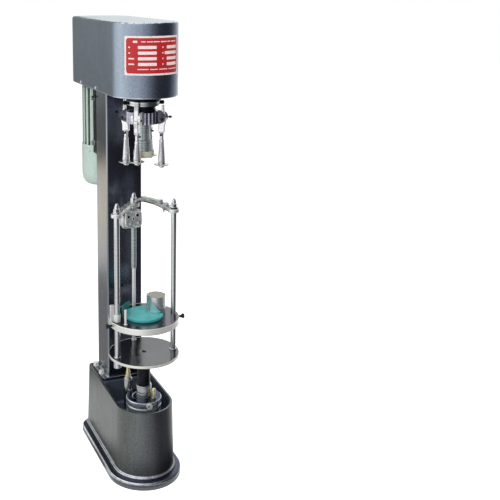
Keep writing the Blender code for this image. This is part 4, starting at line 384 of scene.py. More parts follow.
def painted(name, dark, light, edge, rough, metallic, scale, depth, wear=0.5):
    """Hammer-finish or smooth stove paint over metal, pale where its edges wear."""
    dark, light, edge = tone(*dark), tone(*light), tone(*edge)
    made, tree, shader, place = start_finish(name, light, rough[0], metallic)
    coat = use(tree, "hammered", Place=place, Scale=scale)
    patches = use(tree, "smudges", Place=place, Scale=9.0)["Mask"]
    runs = use(tree, "brushed", Place=place, Stretch=(70.0, 70.0, 9.0))["Height"]
    shade = maths(tree, "ADD", times(tree, coat["Tint"], 0.7), times(tree, runs, 0.3))
    mottled = blend_colours(tree, spread(tree, shade, 0.42, 0.58), dark, light)
    hazy = blend_colours(tree, times(tree, patches, 0.18), mottled, light)
    pale_edges = times(tree, use(tree, "edge_mask", Place=place, Width=0.0014)["Mask"], wear)
    colour_from(tree, shader, blend_colours(tree, pale_edges, hazy, edge))
    roughness_from(tree, shader, patches, *rough)
    relief(tree, shader, coat["Height"], depth, edge=0.0010)
    return made, tree, shader, place


def head_paint():
    """Blue-grey hammer finish of the drive head, with painted highlights: paler on top, a pale line along its lower
    edge, and pale dashes along its crown edge.
    """
    made, tree, shader, place = painted(
        "head_hammer_paint", (0.60, 0.65, 0.70), (0.66, 0.71, 0.76), (0.90, 0.92, 0.93),
        (0.24, 0.32), 1.0, 420.0, 0.00022,
    )
    # Painted highlight: faces that look up take a paler colour.
    colour_over(tree, shader, upward(tree, 0.80, 0.98), (0.74, 0.80, 0.82))
    height = parts(tree, place)[2]
    foot = float(box("head_cover")[0][2])
    # Painted highlight: a pale line along the cover's lower edge, broken up by noise.
    lip = spread(tree, height, foot + 0.0034, foot + 0.0020)
    lip_highlight_breakup = spread(tree, noise(tree, place, 30.0), 0.35, 0.60, 0.25, 0.9)
    colour_over(tree, shader, times(tree, lip, lip_highlight_breakup), (0.96, 0.97, 0.98))
    # Painted highlight: pale dashes along the rounded crown edge.
    crown = times(tree, upward(tree, 0.25, 0.55), upward(tree, 0.998, 0.94))
    dashes = spread(tree, noise(tree, place, 95.0, 4.0, 0.7), 0.46, 0.56)
    colour_over(tree, shader, times(tree, crown, dashes), (0.97, 0.98, 0.99))
    return made


def column_paint():
    """Smooth grey metallic paint of the column: a painted warm reflection on its upper left side, and a front darkened
    as painted shade.
    """
    made, tree, shader, place = painted(
        "column_paint", (0.60, 0.62, 0.64), (0.65, 0.67, 0.69), (0.88, 0.88, 0.87),
        (0.20, 0.27), 1.0, 520.0, 0.00006,
    )
    x, _, z = parts(tree, place)
    # Painted reflection: a warm pale patch on the upper part of the left face.
    left = spread(tree, x, -0.0485, -0.0500)
    warm_reflection = times(tree, times(tree, spread(tree, z, 0.50, 0.66), spread(tree, z, 0.87, 0.82)), left)
    colour_over(tree, shader, times(tree, warm_reflection, 0.7), (0.80, 0.76, 0.68))
    # Painted shade: faces that look to the front take a darker colour.
    normal = node(tree, "NewGeometry").outputs["Normal"]
    front = spread(tree, parts(tree, normal)[1], -0.80, -0.97)
    colour_over(tree, shader, front, (0.42, 0.44, 0.50))
    return made


def casting_paint():
    """Dark grey paint over the base's cast skin: painted highlights as bright lines on the flange's edge, the bead and
    the rim, the flange and bead lines fading towards the right, a darker flange, and matt blue in the bowl."""
    made, tree, shader, place = painted(
        "casting_paint", (0.415, 0.435, 0.43), (0.49, 0.51, 0.50), (0.94, 0.95, 0.96),
        (0.24, 0.32), 1.0, 420.0, 0.00018, wear=0.95,
    )
    x, y, z = parts(tree, place)
    across = maths(tree, "SUBTRACT", x, float(AXIS[0]))
    ledge, foot, rim_height = FLANGE_HEIGHT, FLANGE_HEIGHT + BEAD_HEIGHT, DECK_HEIGHT + 0.006
    colour_over(tree, shader, spread(tree, z, ledge - 0.0020, ledge - 0.0070), (0.34, 0.35, 0.37))
    colour_over(tree, shader, between(tree, z, ledge - 0.0006, ledge + 0.0018, 0.0005), (0.34, 0.37, 0.42))
    # Painted highlights: bright lines on the flange's edge and on the bead, full at the left and fading towards the
    # right.
    lines = maths(tree, "MAXIMUM", between(tree, z, ledge - 0.0064, ledge - 0.0010, 0.0008),
                  between(tree, z, foot - 0.0034, foot + 0.0016, 0.0006))
    # Painted highlight: a pale line on the top of the rim.
    rim = times(tree, spread(tree, z, rim_height, rim_height + 0.002), upward(tree, 0.72, 0.94))
    patchy = spread(tree, noise(tree, place, 60.0), 0.30, 0.60, 0.55, 1.0)
    lit_line_share = times(tree, patchy, spread(tree, across, 0.075, 0.010, 0.15, 1.0))
    colour_over(tree, shader, times(tree, lines, lit_line_share), (0.96, 0.97, 0.99))
    colour_over(tree, shader, times(tree, rim, patchy), (0.80, 0.82, 0.85))
    ahead = maths(tree, "MINIMUM", maths(tree, "SUBTRACT", y, float(AXIS[1])), 0.0)
    squares = maths(tree, "ADD", times(tree, across, across), times(tree, ahead, ahead))
    out = maths(tree, "SQRT", squares)
    bowl = times(tree, spread(tree, out, BASE_TOP_RADIUS - 0.0040, BASE_TOP_RADIUS - 0.0055),
                 spread(tree, z, BOWL_UNDERSIDE, BOWL_FLOOR))
    colour_over(tree, shader, times(tree, bowl, 0.8), (0.30, 0.35, 0.43))
    tree.links.new(spread(tree, bowl, 0.0, 1.0, 1.0, 0.45), shader.inputs["Metallic"])
    return made


def motor_enamel():
    """Pale mint enamel of the motor, darkened in its deep places as painted shade."""
    made, tree, shader, _ = painted(
        "motor_enamel", (0.75, 0.84, 0.80), (0.83, 0.90, 0.86), (0.92, 0.95, 0.92),
        (0.36, 0.52), 0.05, 700.0, 0.00008, wear=0.4,
    )
    # Painted shade: ambient occlusion darkens the colour in gaps and deep places.
    low = node(tree, "AmbientOcclusion", {"Distance": 0.012}, samples=6, only_local=True).outputs["AO"]
    colour_over(tree, shader, times(tree, spread(tree, low, 0.85, 0.40), 0.9), (0.13, 0.17, 0.16))
    return made


def lathe_metal(name, colour, deep, rough, pitch, depth, metallic, tint):
    """Turned metal with tool rings in its grain and soft finger marks."""
    colour, deep = tone(*colour), tone(*deep)
    made, tree, shader, place = start_finish(name, colour, rough[0], metallic)
    grain = node(tree, "Attribute", attribute_name="grain").outputs["Vector"]
    rings = use(tree, "turning_marks", Grain=grain, Pitch=pitch)
    marks = use(tree, "smudges", Place=place, Scale=45.0)["Mask"]
    share = times(tree, spread(tree, rings["Tint"], 0.15, 0.40), tint)
    colour_from(tree, shader, blend_colours(tree, share, colour, deep))
    roughness_from(tree, shader, marks, *rough)
    relief(tree, shader, rings["Height"], depth, edge=0.0004)
    return made, tree, shader


def dark_faced(name, side, deep, face, rough, metallic, pitch, tint):
    """Turned steel with a dull bloom on its bright side, and a darker mirror where it looks up, its darker colour a
    painted dark reflection.
    """
    made, tree, shader = lathe_metal(name, side, deep, rough, pitch, 7e-6, metallic, tint)
    # Painted reflection: faces that look up take a darker colour.
    top = upward(tree, 0.90, 0.99)
    colour_over(tree, shader, top, face)
    tree.links.new(spread(tree, top, 0.0, 1.0, metallic, 1.0), shader.inputs["Metallic"])
    return made


def cast_steel(name, dark, light, metallic):
    """Cast and fettled steel, dull in its pits, and pale on its edges from wear and from a painted highlight."""
    dark, light = tone(*dark), tone(*light)
    made, tree, shader, place = start_finish(name, light, 0.30, metallic)
    skin = use(tree, "cast_skin", Place=place, Scale=300.0)
    patches = use(tree, "smudges", Place=place, Scale=70.0)["Mask"]
    dull = blend_colours(tree, patches, dark, light)
    colour_from(tree, shader, blend_colours(tree, times(tree, skin["Pits"], 0.7), dull, tone(0.25, 0.26, 0.23)))
    # Pale edges: partly wear, partly a painted highlight.
    pale_edges = use(tree, "edge_mask", Place=place, Width=0.0014, Breakup=150.0)["Mask"]
    colour_over(tree, shader, times(tree, pale_edges, 0.9), (0.98, 0.98, 0.97))
    roughness_from(tree, shader, patches, 0.34, 0.18)
    swell = noise(tree, place, 85.0, 2.0, 0.5, 0.6)
    relief(tree, shader, maths(tree, "ADD", swell, times(tree, skin["Height"], 0.12)), 0.0026, edge=0.0012)
    return made


def rubbed_steel(name, start, dark, light, edge, rough, metallic, patch_scale, wear, streaks, bump):
    """Dark steel in patches, pale on its edges from wear, with fine streaks along it.

    Wear is the edge's width, its breakup and its share; bump is the streaks' depth and the edges' width.
    """
    made, tree, shader, place = start_finish(name, tone(*start), rough[0], metallic)
    patches = use(tree, "smudges", Place=place, Scale=patch_scale)["Mask"]
    colour_from(tree, shader, blend_colours(tree, patches, tone(*dark), tone(*light)))
    pale_edges = use(tree, "edge_mask", Place=place, Width=wear[0], Breakup=wear[1])["Mask"]
    colour_over(tree, shader, times(tree, pale_edges, wear[2]), edge)
    roughness_from(tree, shader, patches, *rough)
    relief(tree, shader, use(tree, "brushed", Place=place, Stretch=streaks)["Height"], bump[0], edge=bump[1])
    return made


def zinc_plate():
    """Pale bluish zinc plate of bolts and clamps."""
    made, tree, shader, place = start_finish("zinc_plate", tone(0.82, 0.84, 0.86), 0.24, 1.0)
    spangle = node(tree, "TexVoronoi", {"Vector": place, "Scale": 700.0}).outputs["Color"]
    grey = node(tree, "RGBToBW", (spangle,)).outputs[0]
    colour_from(tree, shader, blend_colours(tree, grey, tone(0.72, 0.75, 0.80), tone(0.90, 0.91, 0.92)))
    pale_edges = use(tree, "edge_mask", Place=place, Width=0.0007, Breakup=500.0)["Mask"]
    colour_over(tree, shader, times(tree, pale_edges, 0.6), (0.97, 0.97, 0.96))
    roughness_from(tree, shader, grey, 0.18, 0.32)
    relief(tree, shader, noise(tree, place, 900.0), 0.00003, edge=0.0006)
    return made


def soft_polymer(name, dark, light, rough, scale, depth, subsurface=0.0):
    """Moulded rubber or plastic: a fine skin with slight cloudiness."""
    made, tree, shader, place = start_finish(name, tone(*light), rough[0], 0.0)
    if subsurface:
        shader.inputs["Subsurface Weight"].default_value = subsurface
        shader.inputs["Subsurface Scale"].default_value = 0.002
    skin = use(tree, "cast_skin", Place=place, Scale=scale)
    patches = use(tree, "smudges", Place=place, Scale=26.0)["Mask"]
    colour_from(tree, shader, blend_colours(tree, patches, tone(*dark), tone(*light)))
    roughness_from(tree, shader, patches, *rough)
    relief(tree, shader, skin["Height"], depth, edge=0.0008)
    return made


def plate_enamel(name, dark, light):
    """Screen-printed enamel with slight unevenness."""
    made, tree, shader, place = start_finish(name, tone(*light), 0.30, 0.0, Coat_Weight=0.25)
    patches = use(tree, "smudges", Place=place, Scale=120.0)["Mask"]
    speck = noise(tree, place, 1800.0, 2.0)
    colour_from(tree, shader, blend_colours(tree, times(tree, patches, speck), tone(*light), tone(*dark)))
    roughness_from(tree, shader, patches, 0.24, 0.38)
    relief(tree, shader, speck, 0.00001, edge=0.0002)
    return made


# Turned metals: colour, colour in the marks, roughness, marks to the metre, their depth, metallic, their share
LATHED = {
    "chrome": ((0.93, 0.94, 0.94), (0.80, 0.82, 0.82), (0.05, 0.12), 1500.0, 6e-6, 1.0, 0.35),
    "turned_steel": ((0.80, 0.81, 0.80), (0.58, 0.60, 0.59), (0.16, 0.28), 2200.0, 2.2e-5, 1.0, 0.6),
    "polished_steel": ((0.90, 0.91, 0.90), (0.74, 0.76, 0.75), (0.08, 0.17), 3000.0, 8e-6, 1.0, 0.5),
    "spindle_steel": ((0.80, 0.84, 0.83), (0.56, 0.60, 0.60), (0.32, 0.44), 2200.0, 2e-5, 0.9, 0.6),
    "arm_nickel": ((0.97, 0.97, 0.97), (0.78, 0.79, 0.80), (0.07, 0.15), 1500.0, 6e-6, 0.86, 0.35),
    "hub_steel": ((0.78, 0.79, 0.84), (0.50, 0.50, 0.58), (0.18, 0.28), 2200.0, 1.5e-5, 1.0, 0.6),
    "bright_plate": ((0.97, 0.97, 0.96), (0.84, 0.85, 0.84), (0.14, 0.24), 1500.0, 6e-6, 0.5, 0.35),
    "brass": ((0.95, 0.91, 0.74), (0.80, 0.71, 0.47), (0.18, 0.32), 1800.0, 1.5e-5, 0.8, 0.6),
}
# Turned pieces seen from above: side, marks, top face (darker, a painted reflection), roughness, metallic of the side,
# marks to the metre, share
DARK_FACED = {
    "table_steel": ((0.98, 0.98, 0.96), (0.86, 0.86, 0.84), (0.45, 0.45, 0.47), (0.16, 0.26), 0.55, 1800.0, 0.35),
    "disc_steel": ((0.98, 0.98, 0.95), (0.86, 0.86, 0.83), (0.45, 0.455, 0.46), (0.14, 0.24), 0.55, 1800.0, 0.35),
    "block_steel": ((0.92, 0.95, 0.95), (0.68, 0.73, 0.73), (0.56, 0.56, 0.52), (0.10, 0.20), 0.85, 1800.0, 0.35),
    "collar_steel": ((0.92, 0.96, 0.98), (0.22, 0.27, 0.34), (0.30, 0.33, 0.42), (0.08, 0.18), 0.72, 6000.0, 1.0),
}
# Rubbers and plastics: dark and light colour, roughness, scale of the skin, its depth, glow-through
POLYMERS = {
    "teal_rubber": ((0.27, 0.64, 0.65), (0.36, 0.75, 0.75), (0.34, 0.50), 1400.0, 3e-5),
    "dark_teal": ((0.13, 0.37, 0.37), (0.24, 0.54, 0.54), (0.22, 0.36), 1400.0, 3e-5),
    "cream_nylon": ((0.62, 0.61, 0.52), (0.84, 0.83, 0.74), (0.30, 0.44), 900.0, 2e-5, 0.15),
    "black_plastic": ((0.05, 0.05, 0.055), (0.12, 0.12, 0.125), (0.32, 0.46), 1600.0, 2e-5),
    "belt_rubber": ((0.06, 0.06, 0.06), (0.14, 0.14, 0.14), (0.70, 0.85), 2200.0, 6e-5),
}
FINISHES = {
    "hammer_grey": head_paint(),
    "column_grey": column_paint(),
    "casting_grey": casting_paint(),
    "pale_green": motor_enamel(),
    "cast_steel": cast_steel("cast_steel", (0.56, 0.58, 0.55), (0.80, 0.82, 0.79), 0.9),
    # Lit copy of the cast steel: a paler finish that paints in highlights on the yoke's left arm and bosses, the neck
    # block and the jaw plate.
    "lit_casting": cast_steel("lit_casting", (0.78, 0.83, 0.80), (1.0, 1.0, 1.0), 0.74),
    "black_steel": rubbed_steel(
        "black_oxide", (0.10, 0.10, 0.11), (0.08, 0.08, 0.10), (0.19, 0.19, 0.21), (0.55, 0.55, 0.56), (0.28, 0.46),
        0.9, 30.0, (0.0008, 400.0, 0.35), (220.0, 220.0, 30.0), (0.00004, 0.0005)),
    # Shaded steel: a dark finish for the hub's ears and the ribs under the yoke, as painted shade.
    "shaded_steel": rubbed_steel(
        "shaded_steel", (0.42, 0.42, 0.48), (0.20, 0.20, 0.25), (0.46, 0.46, 0.49), (0.92, 0.92, 0.90), (0.16, 0.30),
        1.0, 60.0, (0.0011, 300.0, 0.9), (300.0, 300.0, 60.0), (0.00003, 0.0008)),
    "zinc": zinc_plate(),
    "red_plate": plate_enamel("red_enamel", (0.58, 0.08, 0.10), (0.77, 0.14, 0.16)),
    "pale_print": plate_enamel("pale_enamel", (0.90, 0.78, 0.78), (0.98, 0.94, 0.93)),
    "pink_print": plate_enamel("pink_print", (0.92, 0.70, 0.70), (1.0, 0.93, 0.92)),
    **{name: lathe_metal(name, *values)[0] for name, values in LATHED.items()},
    **{name: dark_faced(name, *values) for name, values in DARK_FACED.items()},
    **{name: soft_polymer(name, *values) for name, values in POLYMERS.items()},
}


# Slots of the finishes that don't have one of their own name
USUAL_SLOTS = {
    "arm_nickel": "chrome", "collar_steel": "chrome", "lit_casting": "cast_steel", "pale_print": "red_plate",
    "pink_print": "red_plate",
    **dict.fromkeys(("block_steel", "bright_plate", "shaded_steel", "disc_steel", "hub_steel", "spindle_steel",
                     "table_steel", "turned_steel", "zinc"), "polished_steel"),
}


# Surfaces

Surface = namedtuple("Surface", "points grain loop_rows loop_columns")


def rounded(corners, radii, closed=False, steps=CORNER_STEPS):
    """A line whose corners are curves (1-t)^2 A + 2t(1-t) B + t^2 C, from A to C at a radius either side of B."""
    points = np.array(corners, float)
    radii = np.broadcast_to(np.array(radii, float), len(points)).copy()
    if not closed:
        radii[[0, -1]] = 0.0
    before = np.roll(points, 1, axis=0) - points
    after = np.roll(points, -1, axis=0) - points
    length_before = np.maximum(np.linalg.norm(before, axis=1), 1e-12)
    length_after = np.maximum(np.linalg.norm(after, axis=1), 1e-12)
    back = np.minimum(radii, 0.48 * length_before) / length_before
    ahead = np.minimum(radii, 0.48 * length_after) / length_after
    start = (points + before * back[:, None])[:, None]
    end = (points + after * ahead[:, None])[:, None]
    t = np.linspace(0.0, 1.0, steps + 1)[None, :, None]
    curve = (1 - t) ** 2 * start + 2 * t * (1 - t) * points[:, None] + t**2 * end
    return curve.reshape(-1, points.shape[1])


def cells(index):
    """The four corners of each cell in a grid of point numbers."""
    return np.stack([index[:-1, :-1], index[:-1, 1:], index[1:, 1:], index[1:, :-1]], axis=-1).reshape(-1, 4)


def placed(name, data):
    """An object in the scene that holds a mesh, a light or a camera."""
    made = bpy.data.objects.new(name, data)
    bpy.context.scene.collection.objects.link(made)
    return made


def circle_shape(turn):
    """Unit circle."""
    return np.ones_like(turn)


def hexagon(turn):
    """Unit hexagon: cos 30 / cos of the turn from the nearest flat's middle."""
    return math.cos(math.pi / 6) / np.cos(np.mod(turn, math.pi / 3) - math.pi / 6)


def flutes(count, depth):
    """Unit circle with scallops: 1 - depth * sin^2 of half the count times the turn."""
    return lambda turn: 1.0 - depth * np.sin(count * turn / 2) ** 2


def turned(profile, centre=(0.0, 0.0), steps=ROUND, closed=False, shape=circle_shape):
    """A profile of (radius, height, share) turned about an upright line: r (1 + share (shape(t) - 1)) at angle t."""
    profile = np.array(profile, float)
    turn = np.linspace(0.0, TAU, steps, endpoint=False)[None, :]
    radius, height = profile[:, :1], profile[:, 1:2]
    share = profile[:, 2:3] if profile.shape[1] > 2 else 0.0
    radius = radius * (1 + share * (shape(turn) - 1))
    run = np.concatenate([[0.0], np.cumsum(np.linalg.norm(np.diff(profile[:, :2], axis=0), axis=1))])[:, None]
    x, y = radius * np.cos(turn), radius * np.sin(turn)
    points = np.stack([x + centre[0], y + centre[1], height + 0 * x], axis=-1)
    return Surface(points, np.stack([x, y, run + 0 * x], axis=-1), closed, True)


def solid_of_turning(corners, radii, centre=(0.0, 0.0), steps=ROUND, closed=False, shape=circle_shape):
    """A turned solid from its corners, each rounded."""
    return turned(rounded(corners, radii, closed), centre, steps, closed, shape)


def pipe(inner, outer, low, high, radii, centre=(0.0, 0.0), steps=SMALL):
    """A ring or tube with its edges rounded."""
    corners = [(inner, low), (outer, low), (outer, high), (inner, high)]
    return solid_of_turning(corners, radii, centre, steps, closed=True)


def rod_of(radius, low, high, radii, centre=(0.0, 0.0), steps=24):
    """A solid bar of one radius with its edges rounded."""
    return solid_of_turning([(0, low), (radius, low), (radius, high), (0, high)], radii, centre, steps)


def laid(surface, at, direction):
    """A surface made along +Z, turned so that +Z runs in a direction, and moved."""
    up = np.array(direction, float) / np.linalg.norm(direction)
    helper = UP if abs(up[2]) < 0.9 else np.array([1.0, 0.0, 0.0])
    side = np.cross(helper, up)
    side /= np.linalg.norm(side)
    points = surface.points @ np.array([side, np.cross(up, side), up]) + np.array(at, float)
    return surface._replace(points=points)


def moved(surface, by):
    """A surface moved by a vector."""
    return surface._replace(points=surface.points + np.array(by, float))


def long_round(radius, rear, corner):
    """Half a circle in front, straight sides and a rear wall with round corners, for columns of sizes at once."""
    nose = np.linspace(math.pi, TAU, NOSE_POINTS)
    run = np.linspace(0.0, 1.0, SIDE_POINTS)[1:-1]
    bend = np.linspace(0.0, math.pi / 2, BEND_POINTS)
    side = radius - corner
    back = rear - corner
    x = np.hstack([
        radius * np.cos(nose), radius + 0 * run, side + corner * np.cos(bend), side * (1 - 2 * run),
        -(side + corner * np.cos(bend[::-1])), -radius + 0 * run,
    ])
    y = np.hstack([
        radius * np.sin(nose), back * run, back + corner * np.sin(bend), rear + 0 * side * run,
        back + corner * np.sin(bend[::-1]), back * (1 - run),
    ])
    return x, y


def rectangle(half_x, half_y, corner):
    """A rectangle with round corners, for columns of sizes at once."""
    bend = np.linspace(0.0, math.pi / 2, BEND_POINTS)
    xs, ys = [], []
    for quarter, (sx, sy) in enumerate(((1, 1), (-1, 1), (-1, -1), (1, -1))):
        angle = bend + quarter * math.pi / 2
        xs.append(sx * (half_x - corner) + corner * np.cos(angle))
        ys.append(sy * (half_y - corner) + corner * np.sin(angle))
    return np.hstack(xs), np.hstack(ys)


def stacked(rows, outline, centre=(0.0, 0.0), cap_low=None, cap_high=None):
    """Outlines of changing size, one above another. A row holds the outline's sizes and its height.

    A cap is a point, in plan, to which the first or the last row closes.
    """
    rows = np.array(rows, float)
    sizes = [rows[:, i:i + 1] for i in range(rows.shape[1] - 1)]
    x, y = outline(*sizes)
    z = rows[:, -1:] + 0 * x
    points = np.stack([x + centre[0], y + centre[1], z], axis=-1)
    for cap, place in ((cap_low, 0), (cap_high, -1)):
        if cap is None:
            continue
        end = points[place]
        tip = np.array([cap[0] + centre[0], cap[1] + centre[1], end[0, 2]])
        share = np.array([0.0, 0.5, 0.9])[:, None, None]
        fan = tip + (end - tip) * share
        points = np.concatenate([fan, points] if place == 0 else [points, fan[::-1]])
    return Surface(points, points.copy(), False, True)


def block_of(rows, radii, centre):
    """A closed upright block. A row holds half its width, half its depth, its corner's radius and its height."""
    return stacked(rounded(rows, radii), rectangle, centre, cap_low=(0, 0), cap_high=(0, 0))


def smooth_path(points, samples):
    """A curve through points: between each pair a cubic whose slopes follow the neighbours."""
    p = np.array(points, float)
    p = np.vstack([2 * p[0] - p[1], p, 2 * p[-1] - p[-2]])
    t = np.linspace(0.0, len(p) - 3, samples)
    k = np.minimum(t.astype(int), len(p) - 4)
    s = (t - k)[:, None]
    a, b, c, d = p[k], p[k + 1], p[k + 2], p[k + 3]
    return 0.5 * (2 * b + (c - a) * s + (2 * a - 5 * b + 4 * c - d) * s**2 + (3 * b - a - 3 * c + d) * s**3)


def swept(path, half_widths, half_heights, up=(0.0, 0.0, 1.0), power=5.0, steps=SMALL):
    """A bar along a path. Its section is |x/a|^p + |z/b|^p = 1, and both ends close to the path."""
    path = np.array(path, float)
    along = np.gradient(path, axis=0)
    along /= np.linalg.norm(along, axis=1, keepdims=True)
    side = np.cross(along, np.array(up, float))
    side /= np.linalg.norm(side, axis=1, keepdims=True)
    rise = np.cross(side, along)
    turn = np.linspace(0.0, TAU, steps, endpoint=False)
    across = np.sign(np.cos(turn)) * np.abs(np.cos(turn)) ** (2 / power)
    over = np.sign(np.sin(turn)) * np.abs(np.sin(turn)) ** (2 / power)
    a = np.broadcast_to(half_widths, len(path))[:, None, None]
    b = np.broadcast_to(half_heights, len(path))[:, None, None]
    points = path[:, None] + side[:, None] * a * across[None, :, None] + rise[:, None] * b * over[None, :, None]
    ends = [path[None, :1] + 0 * points[:1], points, path[None, -1:] + 0 * points[-1:]]
    points = np.concatenate(ends)
    run = np.concatenate([[0.0], np.cumsum(np.linalg.norm(np.diff(path, axis=0), axis=1))])
    run = np.concatenate([run[:1], run, run[-1:]])[:, None] + 0 * turn
    grain = np.stack([np.broadcast_to(across, run.shape) * 0.01, np.broadcast_to(over, run.shape) * 0.01, run], -1)
    return Surface(points, grain, False, True)


def bent_slab(from_deg, to_deg, low, high, corner, inner, outer, samples=64):
    """A thin plate wrapped round an upright cylinder: at each angle its height is cut back by its corner's circle."""
    angle = np.radians(np.linspace(from_deg, to_deg, samples)) - math.pi / 2
    arc = (angle - angle.mean()) * outer
    over = np.maximum(np.abs(arc) - (arc.max() - corner), 0.0)
    half = (high - low) / 2 - corner + np.sqrt(np.maximum(corner**2 - over**2, 0.0))
    radius = np.array([inner, outer, outer, inner])
    height = np.array([-1.0, -1.0, 1.0, 1.0])
    mid = (low + high) / 2
    z = mid + half[:, None] * height
    points = np.stack([
        AXIS[0] + radius * np.cos(angle)[:, None], AXIS[1] + radius * np.sin(angle)[:, None], z,
    ], axis=-1)
    ends = [points[:1].mean(axis=1, keepdims=True) + 0 * points[:1], points,
            points[-1:].mean(axis=1, keepdims=True) + 0 * points[-1:]]
    points = np.concatenate(ends)
    return Surface(points, points.copy(), False, True)


def piece(name, surfaces, finish, body, stands_for=()):
    """One object made of surfaces: each grid's quads join its neighbours, and wrap where the grid loops.

    Edges sharper than SHARP_DEG stay sharp.
    """
    points, grain, faces, start = [], [], [], 0
    for surface in surfaces:
        rows, columns = surface.points.shape[:2]
        index = start + np.arange(rows * columns).reshape(rows, columns)
        if surface.loop_rows:
            index = np.vstack([index, index[:1]])
        if surface.loop_columns:
            index = np.hstack([index, index[:, :1]])
        faces.append(cells(index))
        points.append(surface.points.reshape(-1, 3))
        grain.append(surface.grain.reshape(-1, 3))
        start += rows * columns
    mesh = bpy.data.meshes.new(name)
    mesh.from_pydata(np.concatenate(points).tolist(), [], np.concatenate(faces).tolist())
    attribute = mesh.attributes.new("grain", "FLOAT_VECTOR", "POINT")
    attribute.data.foreach_set("vector", np.concatenate(grain).astype(np.float32).ravel())
    bm = bmesh.new()
    bm.from_mesh(mesh)
    bmesh.ops.remove_doubles(bm, verts=bm.verts, dist=2e-6)
    bmesh.ops.dissolve_degenerate(bm, dist=1e-7, edges=bm.edges)
    bmesh.ops.recalc_face_normals(bm, faces=bm.faces)
    bm.to_mesh(mesh)
    bm.free()
    mesh.shade_smooth()
    mesh.set_sharp_from_angle(angle=math.radians(SHARP_DEG))
    mesh.materials.append(FINISHES[finish])
    made = placed(name, mesh)
    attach(made, body)
    if stands_for:
        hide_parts(*stands_for)


def dress(finish, *nodes):
    """Give CAD nodes that stay in view a detailed material."""
    for name in nodes:
        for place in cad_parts[name].material_slots:
            place.material = FINISHES[finish]


# Fasteners, made along +Z from zero

def hex_bolt(width, height, washer=0.0, washer_height=0.0):
    """Hexagon head with a chamfered top, on a round washer face."""
    corner = width / 2 / math.cos(math.pi / 6)
    top = washer_height + height
    rows = [
        (0.0, 0.0, 0.0), (max(washer, corner), 0.0, 0.0), (max(washer, corner), washer_height, 0.0),
        (corner, washer_height, 1.0), (corner, top - 0.16 * height, 1.0), (0.80 * corner, top, 0.2), (0.0, top, 0.0),
    ]
    return turned(rounded(rows, (0, 0.0002, 0.0003, 0.0001, 0.0003, 0.0003, 0), steps=3), steps=48, shape=hexagon)


def cap_screw(radius, height, socket=0.5, depth=0.6):
    """Round head with a rounded rim and a hexagon socket sunk in its top."""
    key = socket * radius
    rows = [
        (0.0, 0.0, 0.0), (radius, 0.0, 0.0), (radius, height, 0.0), (key * 1.12, height, 0.2), (key, height, 1.0),
        (key, height * (1 - depth), 1.0), (0.0, height * (1 - depth) - 0.2 * key, 0.0),
    ]
    radii = (0, 0.0001, 0.18 * radius, 0.0001, 0.0001, 0.0001, 0)
    return turned(rounded(rows, radii, steps=4), steps=48, shape=hexagon)


def round_head(radius, height):
    """Low domed screw head."""
    angle = np.linspace(0.0, math.pi / 2, 8)
    dome = zip(radius * np.cos(angle), 0.25 * height + 0.75 * height * np.sin(angle))
    return turned([(0.0, 0.0), (radius, 0.0), *dome], steps=24)


def dome_nut(radius, height, washer, washer_height):
    """Flanged nut: a washer face, a hexagon body and a domed crown."""
    body = washer_height + 0.42 * (height - washer_height)
    angle = np.linspace(0.0, math.pi / 2, 10)
    crown = [(0.76 * radius * math.cos(a), body + (height - body) * math.sin(a), 0.0) for a in angle]
    rows = [(0.0, 0.0, 0.0), (washer, 0.0, 0.0), (washer, washer_height, 0.0), (radius * 1.05, washer_height, 0.0),
            (radius * 1.08, washer_height + 0.0004, 1.0), (radius * 1.08, body - 0.0008, 1.0)]
    return turned(rows + crown, steps=48, shape=hexagon)


# Frame

def base_casting():
    """Base as one skin: under the bowl floor, down the inside, out over the flange and bead, up the wall, over the
    rim, across the deck, down the bowl and in to its centre."""
    high = box("base_casting")[1]
    flange, rear, top = high[0], high[1] - AXIS[1], high[2]
    inner, inner_rear = BASE_TOP_RADIUS - BASE_WALL, BASE_REAR_TOP - BASE_WALL
    inner_corner = BASE_CORNER - BASE_WALL
    bead, bead_rear = BASE_FOOT_RADIUS + BEAD_WIDTH, BASE_REAR_FOOT + BEAD_WIDTH
    foot = FLANGE_HEIGHT + BEAD_HEIGHT
    corners = [
        (inner, inner_rear, inner_corner, BOWL_UNDERSIDE),
        (inner, inner_rear, inner_corner, 0.0),
        (flange, rear, BASE_FLANGE_CORNER, 0.0),
        (flange, rear, BASE_FLANGE_CORNER, FLANGE_HEIGHT),
        (bead, bead_rear, BASE_CORNER + BEAD_WIDTH, FLANGE_HEIGHT),
        (bead, bead_rear, BASE_CORNER + BEAD_WIDTH, foot),
        (BASE_FOOT_RADIUS, BASE_REAR_FOOT, BASE_CORNER, foot),
        (BASE_TOP_RADIUS, BASE_REAR_TOP, BASE_CORNER, top),
        (inner, inner_rear, inner_corner, top),
        (inner, inner_rear, inner_corner, DECK_HEIGHT),
        (inner - 0.001, BOWL_REAR, BOWL_CORNER, DECK_HEIGHT),
        (inner - 0.003, BOWL_REAR - 0.002, BOWL_CORNER, BOWL_FLOOR),
        (0.030, 0.060, 0.020, BOWL_FLOOR),
    ]
    radii = (0, 0.001, 0.002, 0.007, 0.0015, 0.0045, 0.003, 0.0022, 0.0022, 0.001, 0.0015, 0.009, 0)
    skin = stacked(rounded(corners, radii, steps=8), long_round, AXIS, cap_low=(0.0, 0.06), cap_high=(0.0, 0.02))
    piece("base_shell", [skin], "casting_grey", "machine_frame", ["base_casting"])


